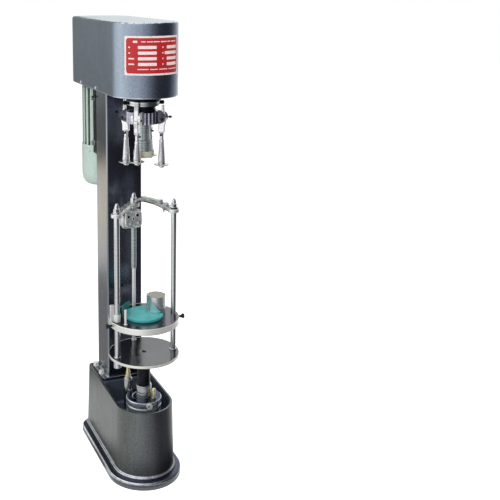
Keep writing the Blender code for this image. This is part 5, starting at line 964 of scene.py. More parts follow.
def column():
    """Column as one skin: the foot plate's edge, its top, a weld fillet, and the box section up to the head."""
    low, high = box("column")
    half_x, half_y = COLUMN_HALF
    y_middle = AXIS[1] + COLUMN_FRONT + half_y
    plate_x = high[0]
    plate_top = low[2] + FOOT_PLATE_HEIGHT
    corners = [
        (plate_x - 0.001, 0.0500, 0.012, low[2]),
        (plate_x, 0.0505, 0.012, low[2] + 0.0004),
        (plate_x, 0.0505, 0.012, plate_top),
        (half_x + 0.004, half_y + 0.0012, COLUMN_CORNER + 0.003, plate_top),
        (half_x, half_y, COLUMN_CORNER, plate_top + 0.005),
        (half_x, half_y, COLUMN_CORNER, high[2]),
    ]
    skin = block_of(corners, (0, 0.0003, 0.0012, 0.0016, 0.003, 0), (AXIS[0], y_middle))
    piece("column_post", [skin], "column_grey", "machine_frame", ["column"])
    bolt = hex_bolt(0.0136, 0.0085, 0.0088, 0.0025)
    bolts = [moved(bolt, from_axis(x, y, plate_top)) for x in (-0.059, 0.059) for y in (0.185, 0.240)]
    piece("column_foot_bolts", bolts, "bright_plate", "machine_frame")
    screws = [laid(cap_screw(0.0035, 0.0022), from_axis(x, COLUMN_FRONT, z), (0, -1, 0))
              for x, z in ((-0.020, 0.955), (-0.008, 0.470))]
    piece("column_screws", screws, "black_steel", "machine_frame")


def head_cover():
    """Drawn cover as one skin: up its inside to a closed top, and from its foot up the outside to the crown."""
    low, high = box("head_cover")
    radius = high[0] - 0.003
    inside = [
        (radius - HEAD_WALL - 0.004, HEAD_REAR - HEAD_WALL - 0.004, HEAD_CORNER - HEAD_WALL, high[2] - HEAD_WALL),
        (radius - HEAD_WALL, HEAD_REAR - HEAD_WALL, HEAD_CORNER - HEAD_WALL, high[2] - HEAD_WALL - 0.004),
        (radius - HEAD_WALL, HEAD_REAR - HEAD_WALL, HEAD_CORNER - HEAD_WALL, low[2]),
    ]
    outside = [
        (radius, HEAD_REAR, HEAD_CORNER, low[2]),
        (radius, HEAD_REAR, HEAD_CORNER, high[2] - 0.0008),
        (radius - 0.016, HEAD_REAR - 0.016, HEAD_CORNER - 0.016, high[2]),
    ]
    skin = stacked(
        rounded(inside + outside, (0, 0.002, 0.0004, 0.0006, HEAD_EDGE, 0), steps=9), long_round, AXIS,
        cap_low=(0.0, 0.16), cap_high=(0.0, 0.16),
    )
    piece("drive_head_cover", [skin], "hammer_grey", "machine_frame", ["head_cover"])
    screws = [laid(round_head(0.0050, 0.0029), from_axis(side * radius, y, low[2] + 0.006), (side, 0, 0))
              for side in (-1, 1) for y in (0.133, 0.272)]
    piece("cover_screws", screws, "zinc", "machine_frame")


def rating_plate():
    """Pale plate bent round the nose, a red field with round corners on it, and plain bars and dashes on that."""
    low, high = box("rating_plate")
    outer, inner = 0.0865, 0.0853
    from_deg, to_deg = -52.0, 50.0
    border, border_deg = 0.0045, 3.0
    plate = bent_slab(from_deg, to_deg, low[2], high[2], 0.0012, inner, outer - 0.0004)
    piece("rating_plate_back", [plate], "pale_print", "machine_frame", ["rating_plate"])
    field = bent_slab(
        from_deg + border_deg, to_deg - border_deg, low[2] + border, high[2] - border, 0.006, inner, outer - 0.0002
    )
    piece("rating_plate_field", [field], "red_plate", "machine_frame")
    row_pitch, bar_height, first = 0.0133, 0.0074, 1.1414
    rows = []
    for i in range(4):
        z = first - row_pitch * i
        rows += [(z, bar_height, (-29.0, 1.0, 15.5 if i == 1 else 19.5, 43.0)),
                 (z, 0.45 * bar_height, (-45.0, -42.0 if i < 2 else -35.0, 11.0, 13.0))]
    rows += [(1.1547, 0.0024, (-24, -17, -15, -5, -4, 6, 8, 19, 20.5, 27, 29, 41)),
             (1.0895, 0.0020, (-30, -12, -10, 3, 5, 21, 23, 44)), (1.1547, 0.005, (-37, -30))]
    bars = [bent_slab(a, b, z - height / 2, z + height / 2, 0.0005, inner, outer - 0.00005, 24)
            for z, height, ends in rows for a, b in zip(ends[::2], ends[1::2])]
    piece("rating_plate_bars", bars, "pink_print", "machine_frame")


def fin_shape(turn):
    """Motor's outline: a square wave with soft flanks between the barrel and the fin tips, flat where the feet are."""
    wave = np.clip((np.cos(MOTOR_FINS * (turn + math.pi / 2)) * -1 - 0.05) * 3.0 + 0.5, 0.0, 1.0)
    toward_feet = np.clip((-np.sin(turn) - 0.62) * 8.0, 0.0, 1.0)
    return (MOTOR_BARREL + (FIN_TIP - MOTOR_BARREL) * wave * (1 - toward_feet)) / FIN_TIP


def motor():
    """Finned body, its feet, the end shield, and the smooth fan cover with a slotted end."""
    low, high = heights("motor_body")
    fins_top = low + 0.174
    body = turned(
        rounded([(0.0, low, 0.0), (FIN_TIP, low, 1.0), (FIN_TIP, fins_top, 1.0), (0.030, fins_top, 0.0)],
                (0, 0.002, 0.002, 0)),
        MOTOR_AXIS, 24 * MOTOR_FINS, shape=fin_shape,
    )
    shield = solid_of_turning(
        [(0.0, fins_top - 0.002), (MOTOR_BARREL + 0.001, fins_top - 0.002), (MOTOR_BARREL + 0.001, fins_top + 0.006),
         (MOTOR_BARREL - 0.012, high), (0.012, high), (0.012, high - 0.003), (0.0, high - 0.003)],
        0.0025, MOTOR_AXIS, FINE,
    )
    flange = rod_of(0.0625, low - 0.0002, low + 0.010, 0.001, MOTOR_AXIS, FINE)
    feet = []
    for side in (-1, 1):
        foot = block_of(
            [(0.0143, 0.0044, 0.002, low), (0.0145, 0.0045, 0.002, low + 0.001),
             (0.0145, 0.0045, 0.002, fins_top - 0.001), (0.0143, 0.0044, 0.002, fins_top)],
            0.0005, AXIS + (side * 0.0355, 0.2807))
        web = stacked([(0.0025, 0.014, 0.001, low + 0.001), (0.0025, 0.014, 0.001, fins_top - 0.001)],
                      rectangle, AXIS + (side * 0.030, 0.293), cap_low=(0, 0), cap_high=(0, 0))
        feet += [foot, web]
    piece("motor_finned_body", [body, shield, flange, *feet], "pale_green", "machine_frame", ["motor_body"])
    low, high = heights("fan_cover")
    radius, edge, wall = box("fan_cover")[1][0], 0.026, 0.0018
    cup = solid_of_turning(
        [(radius - wall, high), (radius, high), (radius, low), (0.010, low), (0.010, low + wall),
         (radius - wall, low + wall)],
        (0.0003, 0.0006, edge * 1.35, 0.0006, 0.0004, edge * 1.30), MOTOR_AXIS, FINE, closed=True,
    )
    piece("fan_cowl", [cup], "pale_green", "machine_frame", ["fan_cover"])
    slots = []
    for i in range(FAN_SLOTS):
        out = heading(360.0 * i / FAN_SLOTS)[0]
        path = np.array([*MOTOR_AXIS, low]) + out * np.linspace(0.016, 0.034, 5)[:, None] + UP * 0.0004
        slots.append(swept(path, 0.0012, 0.0006, steps=12))
    piece("fan_cowl_slots", slots, "black_plastic", "machine_frame")
    centre = np.array([*MOTOR_AXIS, high - 0.006])
    outs = [np.array([math.cos(a), math.sin(a), 0.0])
            for a in (math.pi / 4, 3 * math.pi / 4, 5 * math.pi / 4 - 0.2, 7 * math.pi / 4 + 0.2)]
    screws = [laid(round_head(0.003, 0.0022), centre + radius * out, out) for out in outs]
    piece("fan_cowl_screws", screws, "zinc", "machine_frame")


def bracket_bolts():
    """Bright bolt heads over the bracket's four bolts, and the screws of the terminal box's lid."""
    bolts = [laid(hex_bolt(0.0110, 0.0068, 0.0078, 0.0022), from_axis(side * COLUMN_HALF[0], 0.2625, z), (side, 0, 0))
             for side in (-1, 1) for z in (0.855, 0.980)]
    piece("bracket_bolt_heads", bolts, "zinc", "machine_frame")
    low, high = box("terminal_box")
    inset = 0.006
    screws = [
        laid(round_head(0.0025, 0.0018), (high[0], y, z), (1, 0, 0))
        for y in (low[1] + inset, high[1] - inset) for z in (low[2] + inset, high[2] - inset)
    ]
    piece("terminal_lid_screws", screws, "zinc", "machine_frame")


# Capping head

def bearing_housing():
    """Flange under the head plate with six socket screws."""
    low, high = box("bearing_housing")
    radius = high[0]
    flange_low, flange_top = low[2] + 0.0008, 1.0177
    rings = solid_of_turning(
        [(0.0192, flange_low), (radius, flange_low), (radius, flange_top), (0.033, flange_top), (0.033, high[2]),
         (0.0263, high[2]), (0.0263, 1.0102), (0.0192, 1.0102)],
        (0.0004, 0.0012, 0.0003, 0.0003, 0.001, 0.0005, 0.0003, 0.0003), AXIS, FINE, closed=True,
    )
    screws = [laid(cap_screw(0.0038, 0.0008), from_axis(0, 0, flange_low) + 0.0375 * heading(deg)[0], -UP)
              for deg in range(30, 360, 60)]
    piece("bearing_flange", [rings, *screws], "black_steel", "machine_frame", ["bearing_housing"])


def spindle():
    """Turned spindle with its guide block, a grooved collar line, and the ring and sleeve above the hub."""
    low, high = box("spindle_shaft")
    block_top, block = 0.905, high[0]
    shaft = solid_of_turning(
        [(0.0, high[2]), (0.0125, high[2]), (0.0125, 1.0097), (0.0157, 1.0097), (0.0157, 0.915), (0.0170, 0.9145),
         (0.0170, 0.9065), (0.0162, 0.906), (0.0162, block_top), (block, block_top), (block, 0.8905),
         (block - 0.0008, 0.8902), (block - 0.0008, 0.8893), (block, 0.889), (block, low[2]), (0.0075, low[2]),
         (0.0075, 0.984), (0.0, 0.984)],
        (0, 0.001, 0.0003, 0.0003, 0.0003, 0.0004, 0.0004, 0.0003, 0.0003, 0.0022, 0.0002, 0.0002, 0.0002, 0.0002,
         0.0006, 0.0003, 0.0003, 0),
        AXIS, ROUND,
    )
    piece("spindle_turned", [shaft], "spindle_steel", "spindle", ["spindle_shaft"])
    ring_low, ring_high = 0.993, 1.0055
    radius = 0.0404
    ring = solid_of_turning(
        [(0.016, ring_low), (radius - 0.001, ring_low), (radius, ring_low + 0.001), (radius, 0.9985),
         (radius - 0.0012, 0.9988), (radius - 0.0012, 0.9997), (radius, 1.0), (radius, ring_high - 0.001),
         (radius - 0.001, ring_high), (0.016, ring_high)],
        0.0004, AXIS, FINE, closed=True,
    )
    piece("clamp_ring_turned", [ring], "polished_steel", "spindle", ["clamp_ring"])
    screws = []
    for deg in (-10.0, 170.0):
        out = heading(deg)[0]
        at = from_axis(0, 0, (ring_low + ring_high) / 2) + 0.0385 * out
        neck = rod_of(0.0030, 0, 0.0040, 0.0001)
        head = solid_of_turning(
            [(0, 0.0030), (0.0044, 0.0030), (0.0050, 0.0042), (0.0050, 0.0118), (0.0042, 0.0130), (0, 0.0130)],
            0.0006, steps=96, shape=flutes(24, 0.06))
        screws += [laid(neck, at, out), laid(head, at, out)]
    piece("clamp_ring_screws", screws, "black_steel", "spindle")
    sleeve = solid_of_turning(
        [(0.016, 0.9783), (0.030, 0.9783), (0.030, 0.9845), (0.0275, 0.985), (0.0275, 0.987), (0.030, 0.9875),
         (0.030, 0.9927), (0.016, 0.9927)],
        0.0005, AXIS, ROUND, closed=True,
    )
    piece("spindle_sleeve_turned", [sleeve], "black_steel", "spindle", ["spindle_sleeve"])


def capping_hub():
    """Fluted hub with eight clevis ears, the pins through them, and a black adjusting screw at one pair. One pair of
    ears is bright as a painted highlight, the other three dark as painted shade.
    """
    low, high = 0.949, 0.978
    radius = 0.0438
    hub = turned(
        rounded([(0.016, low, 0.0), (radius, low, 1.0), (radius, high, 1.0), (0.016, high, 0.0)],
                (0.0005, 0.002, 0.002, 0.0005), closed=True),
        AXIS, 16 * FLUTES, True, flutes(FLUTES, 0.045),
    )
    ears, pins, screws = {}, [], []
    reach = np.array([0.0350, 0.0395, 0.0465, 0.0525, 0.0568, 0.0592, 0.0598])[:, None]
    half = np.array([0.0154, 0.0154, 0.0152, 0.0134, 0.0102, 0.0062, 0.002])
    gap = ARM_HALF + 0.0006 + EAR_HALF
    for deg in ARM_DEGS:
        out, across = heading(deg)
        for side in (-1, 1):
            start = from_axis(0, 0, 0.9650) + across * side * gap
            ears.setdefault(deg == ARM_DEGS[3], []).append(swept(start + out * reach, EAR_HALF, half, power=6.0))
        at = from_axis(0, 0, 0.961) + out * 0.0525
        pin = solid_of_turning(
            [(0, -0.0136), (0.0042, -0.0136), (0.0042, -0.0121), (0.003, -0.0121), (0.003, 0.0136), (0, 0.0136)],
            0.0004, steps=SMALL)
        pins.append(laid(pin, at, across))
    piece("capping_hub_fluted", [hub], "hub_steel", "spindle", ["capping_hub"])
    # Painted highlight and shade: one pair of ears takes a bright finish, the other pairs a dark one.
    piece("hub_shaded_ears", ears[False], "shaded_steel", "spindle")
    piece("hub_lit_ears", ears[True], "bright_plate", "spindle")
    piece("arm_pins", pins, "black_steel", "spindle")
    out, across = heading(ARM_DEGS[0])
    at = from_axis(0, 0, 0.9655) + out * 0.0570 + across * 0.0091
    neck = rod_of(0.0016, -0.004, 0.007, 0.0001)
    head = solid_of_turning(
        [(0, 0.006), (0.0027, 0.006), (0.0030, 0.007), (0.0030, 0.0125), (0.0026, 0.0132), (0, 0.0132)],
        0.0005, steps=SMALL, shape=flutes(16, 0.07))
    screws = [laid(neck, at, out), laid(head, at, out)]
    piece("hub_adjusting_screw", screws, "black_steel", "spindle")


def pressure_pad():
    """Nylon cup with a rounded foot."""
    low, high = heights("pressure_pad")
    radius = box("pressure_pad")[1][0]
    cup = solid_of_turning(
        [(0.0073, low), (radius, low), (radius, high), (0.0226, high), (0.0226, 0.8675), (0.0073, 0.8675)],
        (0.0006, 0.0055, 0.0008, 0.0004, 0.001, 0.0003), AXIS, FINE, closed=True,
    )
    piece("nylon_pad", [cup], "cream_nylon", "pressure_pad_body", ["pressure_pad"])


def arms():
    """Four arms: a forged link from its lever's tip to the block, a waisted stalk, and a roller on its headed axle.

    The two arms at the left have levers that reach up beside the clamp ring.
    """
    # Down the link: height, distance from the axis, half the width
    link_rows = np.array([
        (1.0068, 0.0505, 0.0009), (1.0058, 0.0505, 0.0020), (1.0010, 0.0506, 0.0023), (0.9950, 0.0507, 0.0025),
        (0.985, 0.0509, 0.0029), (0.976, 0.0512, 0.0036), (0.9690, 0.0520, 0.0052), (0.962, 0.0525, 0.0070),
        (0.956, 0.0520, 0.0070), (0.950, 0.0505, 0.0076), (0.9455, 0.0485, 0.0082), (0.941, 0.0477, 0.0084),
        (0.934, 0.0475, 0.0084), (0.9275, 0.0475, 0.0082), (0.9258, 0.0475, 0.0072)])
    for i, deg in enumerate(ARM_DEGS):
        out, across = heading(deg)
        roller_low = heights(f"roller_{i + 1}")[0]
        foot = from_axis(0, 0, 0) + out * 0.0475
        holder_low = roller_low + 0.0093
        levels, middles, halves = link_rows[3 if i < 2 else 0:].T
        path = from_axis(0, 0, 0) + out * middles[:, None] + UP * levels[:, None]
        link = swept(path, halves, ARM_HALF, up=across, power=7.0)
        stalk = solid_of_turning(
            [(0.0, 0.929), (0.0076, 0.929), (0.0074, 0.9262), (0.0052, 0.9235), (0.0046, 0.9150), (0.0050, 0.9080),
             (0.0064, 0.9065), (0.0064, 0.9035), (0.0058, 0.9025), (0.0068, 0.8900), (0.0092, holder_low + 0.005),
             (0.0097, holder_low + 0.0015), (0.0078, holder_low), (0.003, holder_low), (0.003, roller_low - 0.0001),
             (0.0062, roller_low - 0.0002), (0.0062, roller_low - 0.0025), (0.0048, roller_low - 0.0038),
             (0.0, roller_low - 0.0038)],
            (0, 0.0006, 0.002, 0.002, 0.003, 0.002, 0.001, 0.0008, 0.0004, 0.01, 0.002, 0.0008, 0.0004, 0.0002,
             0.0002, 0.0003, 0.0008, 0.0004, 0),
            foot[:2], SMALL,
        )
        cross = laid(rod_of(0.0024, -0.0092, 0.0092, 0.0004), foot + UP * 0.9205, across)
        piece(f"arm_{i + 1}_cross_pin", [cross], "black_steel", f"capping_arm_{i + 1}")
        line = foot + out * -0.0088 + UP * np.linspace(0.930, 0.942, 4)[:, None]
        seam = swept(line, 0.0008, 0.0006, up=out, steps=12)
        piece(f"arm_{i + 1}_forged", [link, stalk, seam], "arm_nickel", f"capping_arm_{i + 1}", [f"arm_{i + 1}"])
        mid = roller_low + 0.0045
        disc = solid_of_turning(
            [(0.0033, roller_low), (0.0095, roller_low), (0.0095, mid - 0.0016), (0.0178, mid - 0.0014),
             (0.0190, mid), (0.0178, mid + 0.0014), (0.0095, mid + 0.0016), (0.0090, roller_low + 0.009),
             (0.0033, roller_low + 0.009)],
            (0.0002, 0.0006, 0.001, 0.0007, 0.0004, 0.0007, 0.001, 0.0006, 0.0002), foot[:2], ROUND, closed=True,
        )
        piece(f"roller_{i + 1}_disc", [disc], "polished_steel", f"roller_body_{i + 1}", [f"roller_{i + 1}"])


# Lift

def lift_guide():
    """Guide foot, the three-step clamp collar with its bolt, and the bush in it."""
    low = BOWL_FLOOR + 0.0003
    foot = solid_of_turning(
        [(0.0208, low), (0.0465, low), (0.0465, low + 0.012), (0.038, low + 0.012), (0.036, low + 0.016),
         (0.036, 0.1657), (0.0208, 0.1657)],
        (0.0002, 0.0003, 0.0018, 0.002, 0.003, 0.0004, 0.0002), AXIS, FINE, closed=True,
    )
    piece("lift_guide_foot", [foot], "cast_steel", "machine_frame", ["lift_guide_housing"])
    radius, (bottom, top) = 0.047, heights("lift_collar")
    layer = (top - bottom) / 3
    corners, radii = [(0.0208, bottom)], [0.0003]
    for i in range(3):
        z = bottom + layer * i
        corners += [(radius - 0.003, z), (radius - 0.003, z + 0.0022), (radius, z + 0.0034),
                    (radius, z + layer - 0.002), (radius - 0.0022, z + layer - 0.0002)]
        radii += [0.0004, 0.0005, 0.0008, 0.0014, 0.0005]
    corners += [(0.030, top), (0.029, top - 0.0012), (0.0222, top - 0.0012), (0.0208, top - 0.0012)]
    radii += [0.0006, 0.0004, 0.0004, 0.0002]
    collar = solid_of_turning(corners, radii, AXIS, FINE, closed=True)
    out = heading(-92.0)[0]
    bolt = laid(cap_screw(0.0080, 0.0085, 0.6, 0.8), from_axis(0, 0, 0.2080) + out * (radius - 0.004), out)
    piece("collar_bolt", [bolt], "bright_plate", "machine_frame")
    piece("collar_turned", [collar], "collar_steel", "machine_frame", ["lift_collar"])
    line = from_axis(0.0225, -0.0413, 0) + UP * np.linspace(bottom + 0.0005, top - 0.0004, 6)[:, None]
    split = swept(line, 0.0008, 0.0012, up=(0, 1, 0), steps=12)
    piece("collar_split_line", [split], "black_steel", "machine_frame")
    low, high = heights("lift_bush")
    bush = solid_of_turning(
        [(0.0131, low), (0.0205, low), (0.0205, 0.2280), (0.0199, 0.2284), (0.0199, 0.2294), (0.0205, 0.2298),
         (0.0205, high), (0.0131, high)],
        (0.0003, 0.0003, 0.0002, 0.0002, 0.0002, 0.0002, 0.0014, 0.0006), AXIS, FINE, closed=True,
    )
    piece("lift_bush_turned", [bush], "turned_steel", "machine_frame", ["lift_bush"])


def bowl_posts():
    """Cast post with its brass stop screw, and the brass guide pin."""
    post_at, pin_at = middle("stop_post")[:2], middle("guide_pin")[:2]
    low = BOWL_FLOOR + 0.0003
    post = solid_of_turning(
        [(0.0, low), (0.0135, low), (0.0135, low + 0.005), (0.0112, low + 0.008), (0.0112, 0.245), (0.0090, 0.250),
         (0.0, 0.250)],
        (0, 0.0005, 0.002, 0.003, 0.002, 0.001, 0), post_at, SMALL,
    )
    piece("stop_post_turned", [post], "turned_steel", "machine_frame", ["stop_post"])
    nut = turned(
        rounded([(0.0, 0.2503, 0), (0.0082, 0.2503, 1), (0.0082, 0.2565, 1), (0.0, 0.2565, 0)],
                (0, 0.0008, 0.0008, 0)), post_at, 48, shape=hexagon)
    tip = solid_of_turning(
        [(0.0, 0.2560), (0.0060, 0.2560), (0.0060, 0.2650), (0.0048, 0.2660), (0.0048, 0.2810), (0.0036, 0.2820),
         (0.0, 0.2820)],
        (0, 0.0002, 0.0006, 0.0004, 0.001, 0.0006, 0), post_at, SMALL,
    )
    piece("stop_screw_brass", [nut, tip], "brass", "machine_frame", ["stop_screw"])
    low, top = heights("guide_pin")
    pin = solid_of_turning(
        [(0.0, low), (0.0058, low), (0.0058, low + 0.004), (0.0048, low + 0.0045), (0.0048, low + 0.0060),
         (0.0058, low + 0.0065), (0.0058, top - 0.0025), (0.0042, top), (0.0, top)],
        (0, 0.0004, 0.0006, 0.0004, 0.0004, 0.0006, 0.0008, 0.0008, 0), pin_at, SMALL,
    )
    piece("guide_pin_brass", [pin], "brass", "machine_frame", ["guide_pin"])


def lift_carriage():
    """Black lift shaft, lower disc, and the three rods with their foot nuts and dome nuts."""
    shaft = solid_of_turning(
        [(0.0, 0.050), (0.0125, 0.050), (0.0125, 0.2503), (0.0170, 0.2503), (0.0170, 0.2640), (0.0163, 0.2643),
         (0.0163, 0.2670), (0.0170, 0.2673), (0.0170, 0.3237), (0.0220, 0.3237), (0.0220, 0.3337), (0.0, 0.3337)],
        (0, 0.001, 0.0003, 0.001, 0.0003, 0.0002, 0.0002, 0.0003, 0.001, 0.001, 0.0004, 0), AXIS, ROUND,
    )
    piece("lift_shaft_black", [shaft], "black_steel", "lift", ["lift_shaft"])
    radius = box("lower_disc")[1][0]
    low, high = heights("lower_disc")
    disc = solid_of_turning(
        [(0.0, low), (radius, low), (radius, high), (radius - 0.0025, high), (radius - 0.0030, high - 0.0004),
         (0.0075, high - 0.0004), (0.0060, high - 0.0022), (0.0, high - 0.0022)],
        (0, 0.0012, 0.0016, 0.0004, 0.0003, 0.0003, 0.0003, 0), AXIS, FINE,
    )
    head = moved(cap_screw(0.0060, 0.0009, 0.45, 0.7), from_axis(0, 0, high - 0.0008))
    piece("lower_disc_screw", [head], "black_steel", "lift")
    piece("lower_disc_turned", [disc], "disc_steel", "lift", ["lower_disc"])
    yoke_top = heights("neck_yoke")[1]
    for name, at in RODS.items():
        foot, tip = heights(f"{name}_rod")
        r = 0.0048 if name == "rear" else 0.0070
        nut = r + 0.0028
        rod = solid_of_turning(
            [(0.0, foot), (nut - 0.0012, foot), (nut, foot + 0.0012), (nut, 0.3260), (nut, 0.3337), (r, 0.3337),
             (r, tip - 0.001), (r - 0.001, tip), (0.0, tip)],
            (0, 0.0004, 0.0004, 0.0002, 0.0003, 0.0003, 0.0003, 0.0003, 0), at, SMALL,
        )
        collar = pipe(r - 0.0002, r + 0.0022, high, high + 0.0030, (0.0002, 0.0003, 0.0008, 0.0002), at)
        finish = "bright_plate" if name == "rear" else "chrome"
        piece(f"{name}_rod_chromed", [rod, collar], finish, "lift", [f"{name}_rod"])
        crown = moved(dome_nut(0.0078, 0.0267, 0.0095, 0.0040), (at[0], at[1], yoke_top + 0.0003))
        piece(f"{name}_dome_nut_plated", [crown], "chrome", "lift", [f"{name}_dome_nut"])
    band = pipe(0.0082, 0.0099, yoke_top + 0.0003, yoke_top + 0.0034, 0.0004, RODS["right"])
    piece("right_nut_band", [band], "black_steel", "lift")
    tube = pipe(0.0051, 0.0068, *heights("rear_rod_sleeve"), 0.0006, RODS["rear"])
    piece("rear_sleeve_turned", [tube], "spindle_steel", "lift", ["rear_rod_sleeve"])


def neck_yoke():
    """Cast yoke: two arms swept from the rear boss, over a hump, down to the lugs, with bosses round the rods. The
    left arm and the bosses take a paler copy of the casting as a painted highlight, and dark ribs under the arms are
    painted shade.
    """
    top = heights("neck_yoke")[1]
    mid = top - 0.0045
    arms, bosses, ribs = [], [], []
    share = np.linspace(0.0, 1.0, ROUND)
    waves = 0.0010 * np.sin(share * 23.0) + 0.0007 * np.sin(share * 41.0 + 1.0)
    rising = [(0.000, 0.080, 0.002), (0.010, 0.075, 0.012), (0.022, 0.064, 0.0165), (0.038, 0.045, 0.0150),
              (0.052, 0.025, 0.0105), (0.065, 0.004, 0.0050), (0.077, -0.014, 0.0010)]
    falling = [(0.000, 0.080, 0.003), (-0.012, 0.066, 0.0035), (-0.024, 0.052, 0.0030), (-0.036, 0.039, 0.0020),
               (-0.049, 0.024, 0.0005), (-0.063, 0.008, -0.0005), (-0.077, -0.014, 0.0)]
    for points in (falling, rising):
        path = smooth_path([from_axis(x, y, mid + z) for x, y, z in points], ROUND)
        widths = 0.0112 - 0.0020 * np.sin(math.pi * share) + 0.0022 * np.sin(math.pi * share) ** 2 * share + waves
        depths = 0.0036 + 0.0010 * np.sin(math.pi * share) + 0.0020 * share**2 + 0.4 * waves
        arms.append(swept(path, widths, depths, power=4.5))
        # Painted shade: dark ribs under the arms stand for the shade beneath them.
        under = path - UP * (0.0045 + 0.0005 * np.sin(share * 17.0))[:, None]
        ribs.append(swept(under[4:-6], 0.6 * widths[4:-6], 0.0036, power=4.0))
    for x, y, r in ((-0.077, -0.014, 0.0145), (0.077, -0.014, 0.0145), (0.0, 0.078, 0.0155)):
        boss = solid_of_turning(
            [(0.0, top - 0.0095), (r, top - 0.0095), (r * 0.97, top), (0.0, top)], (0, 0.0014, 0.0018, 0),
            AXIS + (x, y), ROUND)
        bosses.append(boss)
    # Painted highlight: the left arm and the bosses take the paler copy of the casting.
    piece("neck_yoke_right", [arms[1]], "cast_steel", "lift", ["neck_yoke"])
    piece("neck_yoke_left", [arms[0], *bosses], "lit_casting", "lift")
    piece("neck_yoke_shade_ribs", ribs, "shaded_steel", "lift")
    bolts = [
        moved(hex_bolt(0.0110, 0.0065, 0.0068, 0.0012), from_axis(0.0545, 0.0210, top + 0.0095)),
        moved(cap_screw(0.0055, 0.0065), from_axis(0.0640, 0.0040, top + 0.0052)),
        moved(cap_screw(0.0036, 0.0090), from_axis(-0.0620, 0.0040, top + 0.0012)),
        laid(round_head(0.0030, 0.0120), from_axis(0.0590, 0.0110, mid + 0.0020), -UP),
    ]
    piece("yoke_bolts", bolts, "zinc", "lift")


def neck_block():
    """Cast block under the yoke, and the sliding jaw's plate with its bright bolts and dark drillings. Block and plate
    take a paler copy of the casting as a painted highlight, and the drillings are dark discs of painted shade.
    """
    low, high = box("neck_jaw")
    front = low[1]
    back = front + 0.0060
    block_low, block_high = box("neck_block")
    centre = (block_low + block_high) / 2
    half = (block_high - block_low) / 2
    depth = np.array([0.0, 0.0006, 0.0030, 0.0185, 0.0350, 0.0374, 0.0380]) / 0.0380
    along = block_low[1] + depth * (block_high[1] - block_low[1])
    path = np.stack([centre[0] + 0 * along, along, centre[2] + 0 * along], axis=-1)
    shrink = np.array([0.0022, 0.0006, 0.0, 0.0012, 0.0, 0.0006, 0.0022])
    block, step = (
        swept(path + np.array([side * x, 0, -z]), half[0] - x - shrink, half[2] - z - shrink, power=7.0, steps=96)
        for side, x, z in ((1, 0.0125, 0.0025), (-1, 0.0085, 0.0100)))
    cheek = block_of(
        [(0.0070, 0.0150, 0.001, block_low[2] + 0.004), (0.0090, 0.0165, 0.002, block_low[2] + 0.009),
         (0.0085, 0.0165, 0.002, block_high[2] - 0.024), (0.0060, 0.0150, 0.001, block_high[2] - 0.019)],
        0.001, (block_low[0] + 0.0090, centre[1]))
    piece("neck_block_cast", [block, step, cheek], "lit_casting", "lift", ["neck_block"])
    middle_x, middle_z = (low[0] + high[0]) / 2, (low[2] + high[2]) / 2
    along = np.linspace(front + 0.0010, back - 0.0002, 5)
    path = np.stack([middle_x + np.zeros(5), along, middle_z + np.zeros(5)], axis=-1)
    inset = np.array([0.0016, 0.0004, 0.0, 0.0, 0.0004])
    plate = swept(path, (high[0] - low[0]) / 2 - inset, (high[2] - low[2]) / 2 - inset, power=6.0, steps=96)
    rims, dark, bolts = [], [], []
    for x, z, r in ((-0.0255, 0.6955, 0.0034), (-0.0010, 0.6985, 0.0040), (-0.0120, 0.6905, 0.0022)):
        cup = solid_of_turning(
            [(r, 0), (r + 0.0016, 0), (r + 0.0017, 0.0012), (r + 0.0002, 0.0012)], 0.0003, steps=SMALL, closed=True)
        # Painted shade: a dark disc in each drilling.
        hole = solid_of_turning([(0, 0), (r + 0.0002, 0), (r + 0.0002, 0.0007), (0, 0.0004)], 0.0001, steps=24)
        rims.append(laid(cup, (AXIS[0] + x, front + 0.0009, z), (0, -1, 0)))
        dark.append(laid(hole, (AXIS[0] + x, front + 0.0008, z), (0, -1, 0)))
    for x, z, r in ((-0.0190, 0.6767, 0.0048), (0.0010, 0.6777, 0.0042)):
        bolts.append(laid(round_head(r, 0.0052), (AXIS[0] + x, front + 0.0010, z), (0, -1, 0)))
    piece("neck_jaw_plate", [plate] + rims, "lit_casting", "neck_jaw_body", ["neck_jaw"])
    piece("neck_jaw_bolts", bolts, "zinc", "neck_jaw_body")
    piece("jaw_drilling_shades", dark, "black_steel", "neck_jaw_body")


# Table

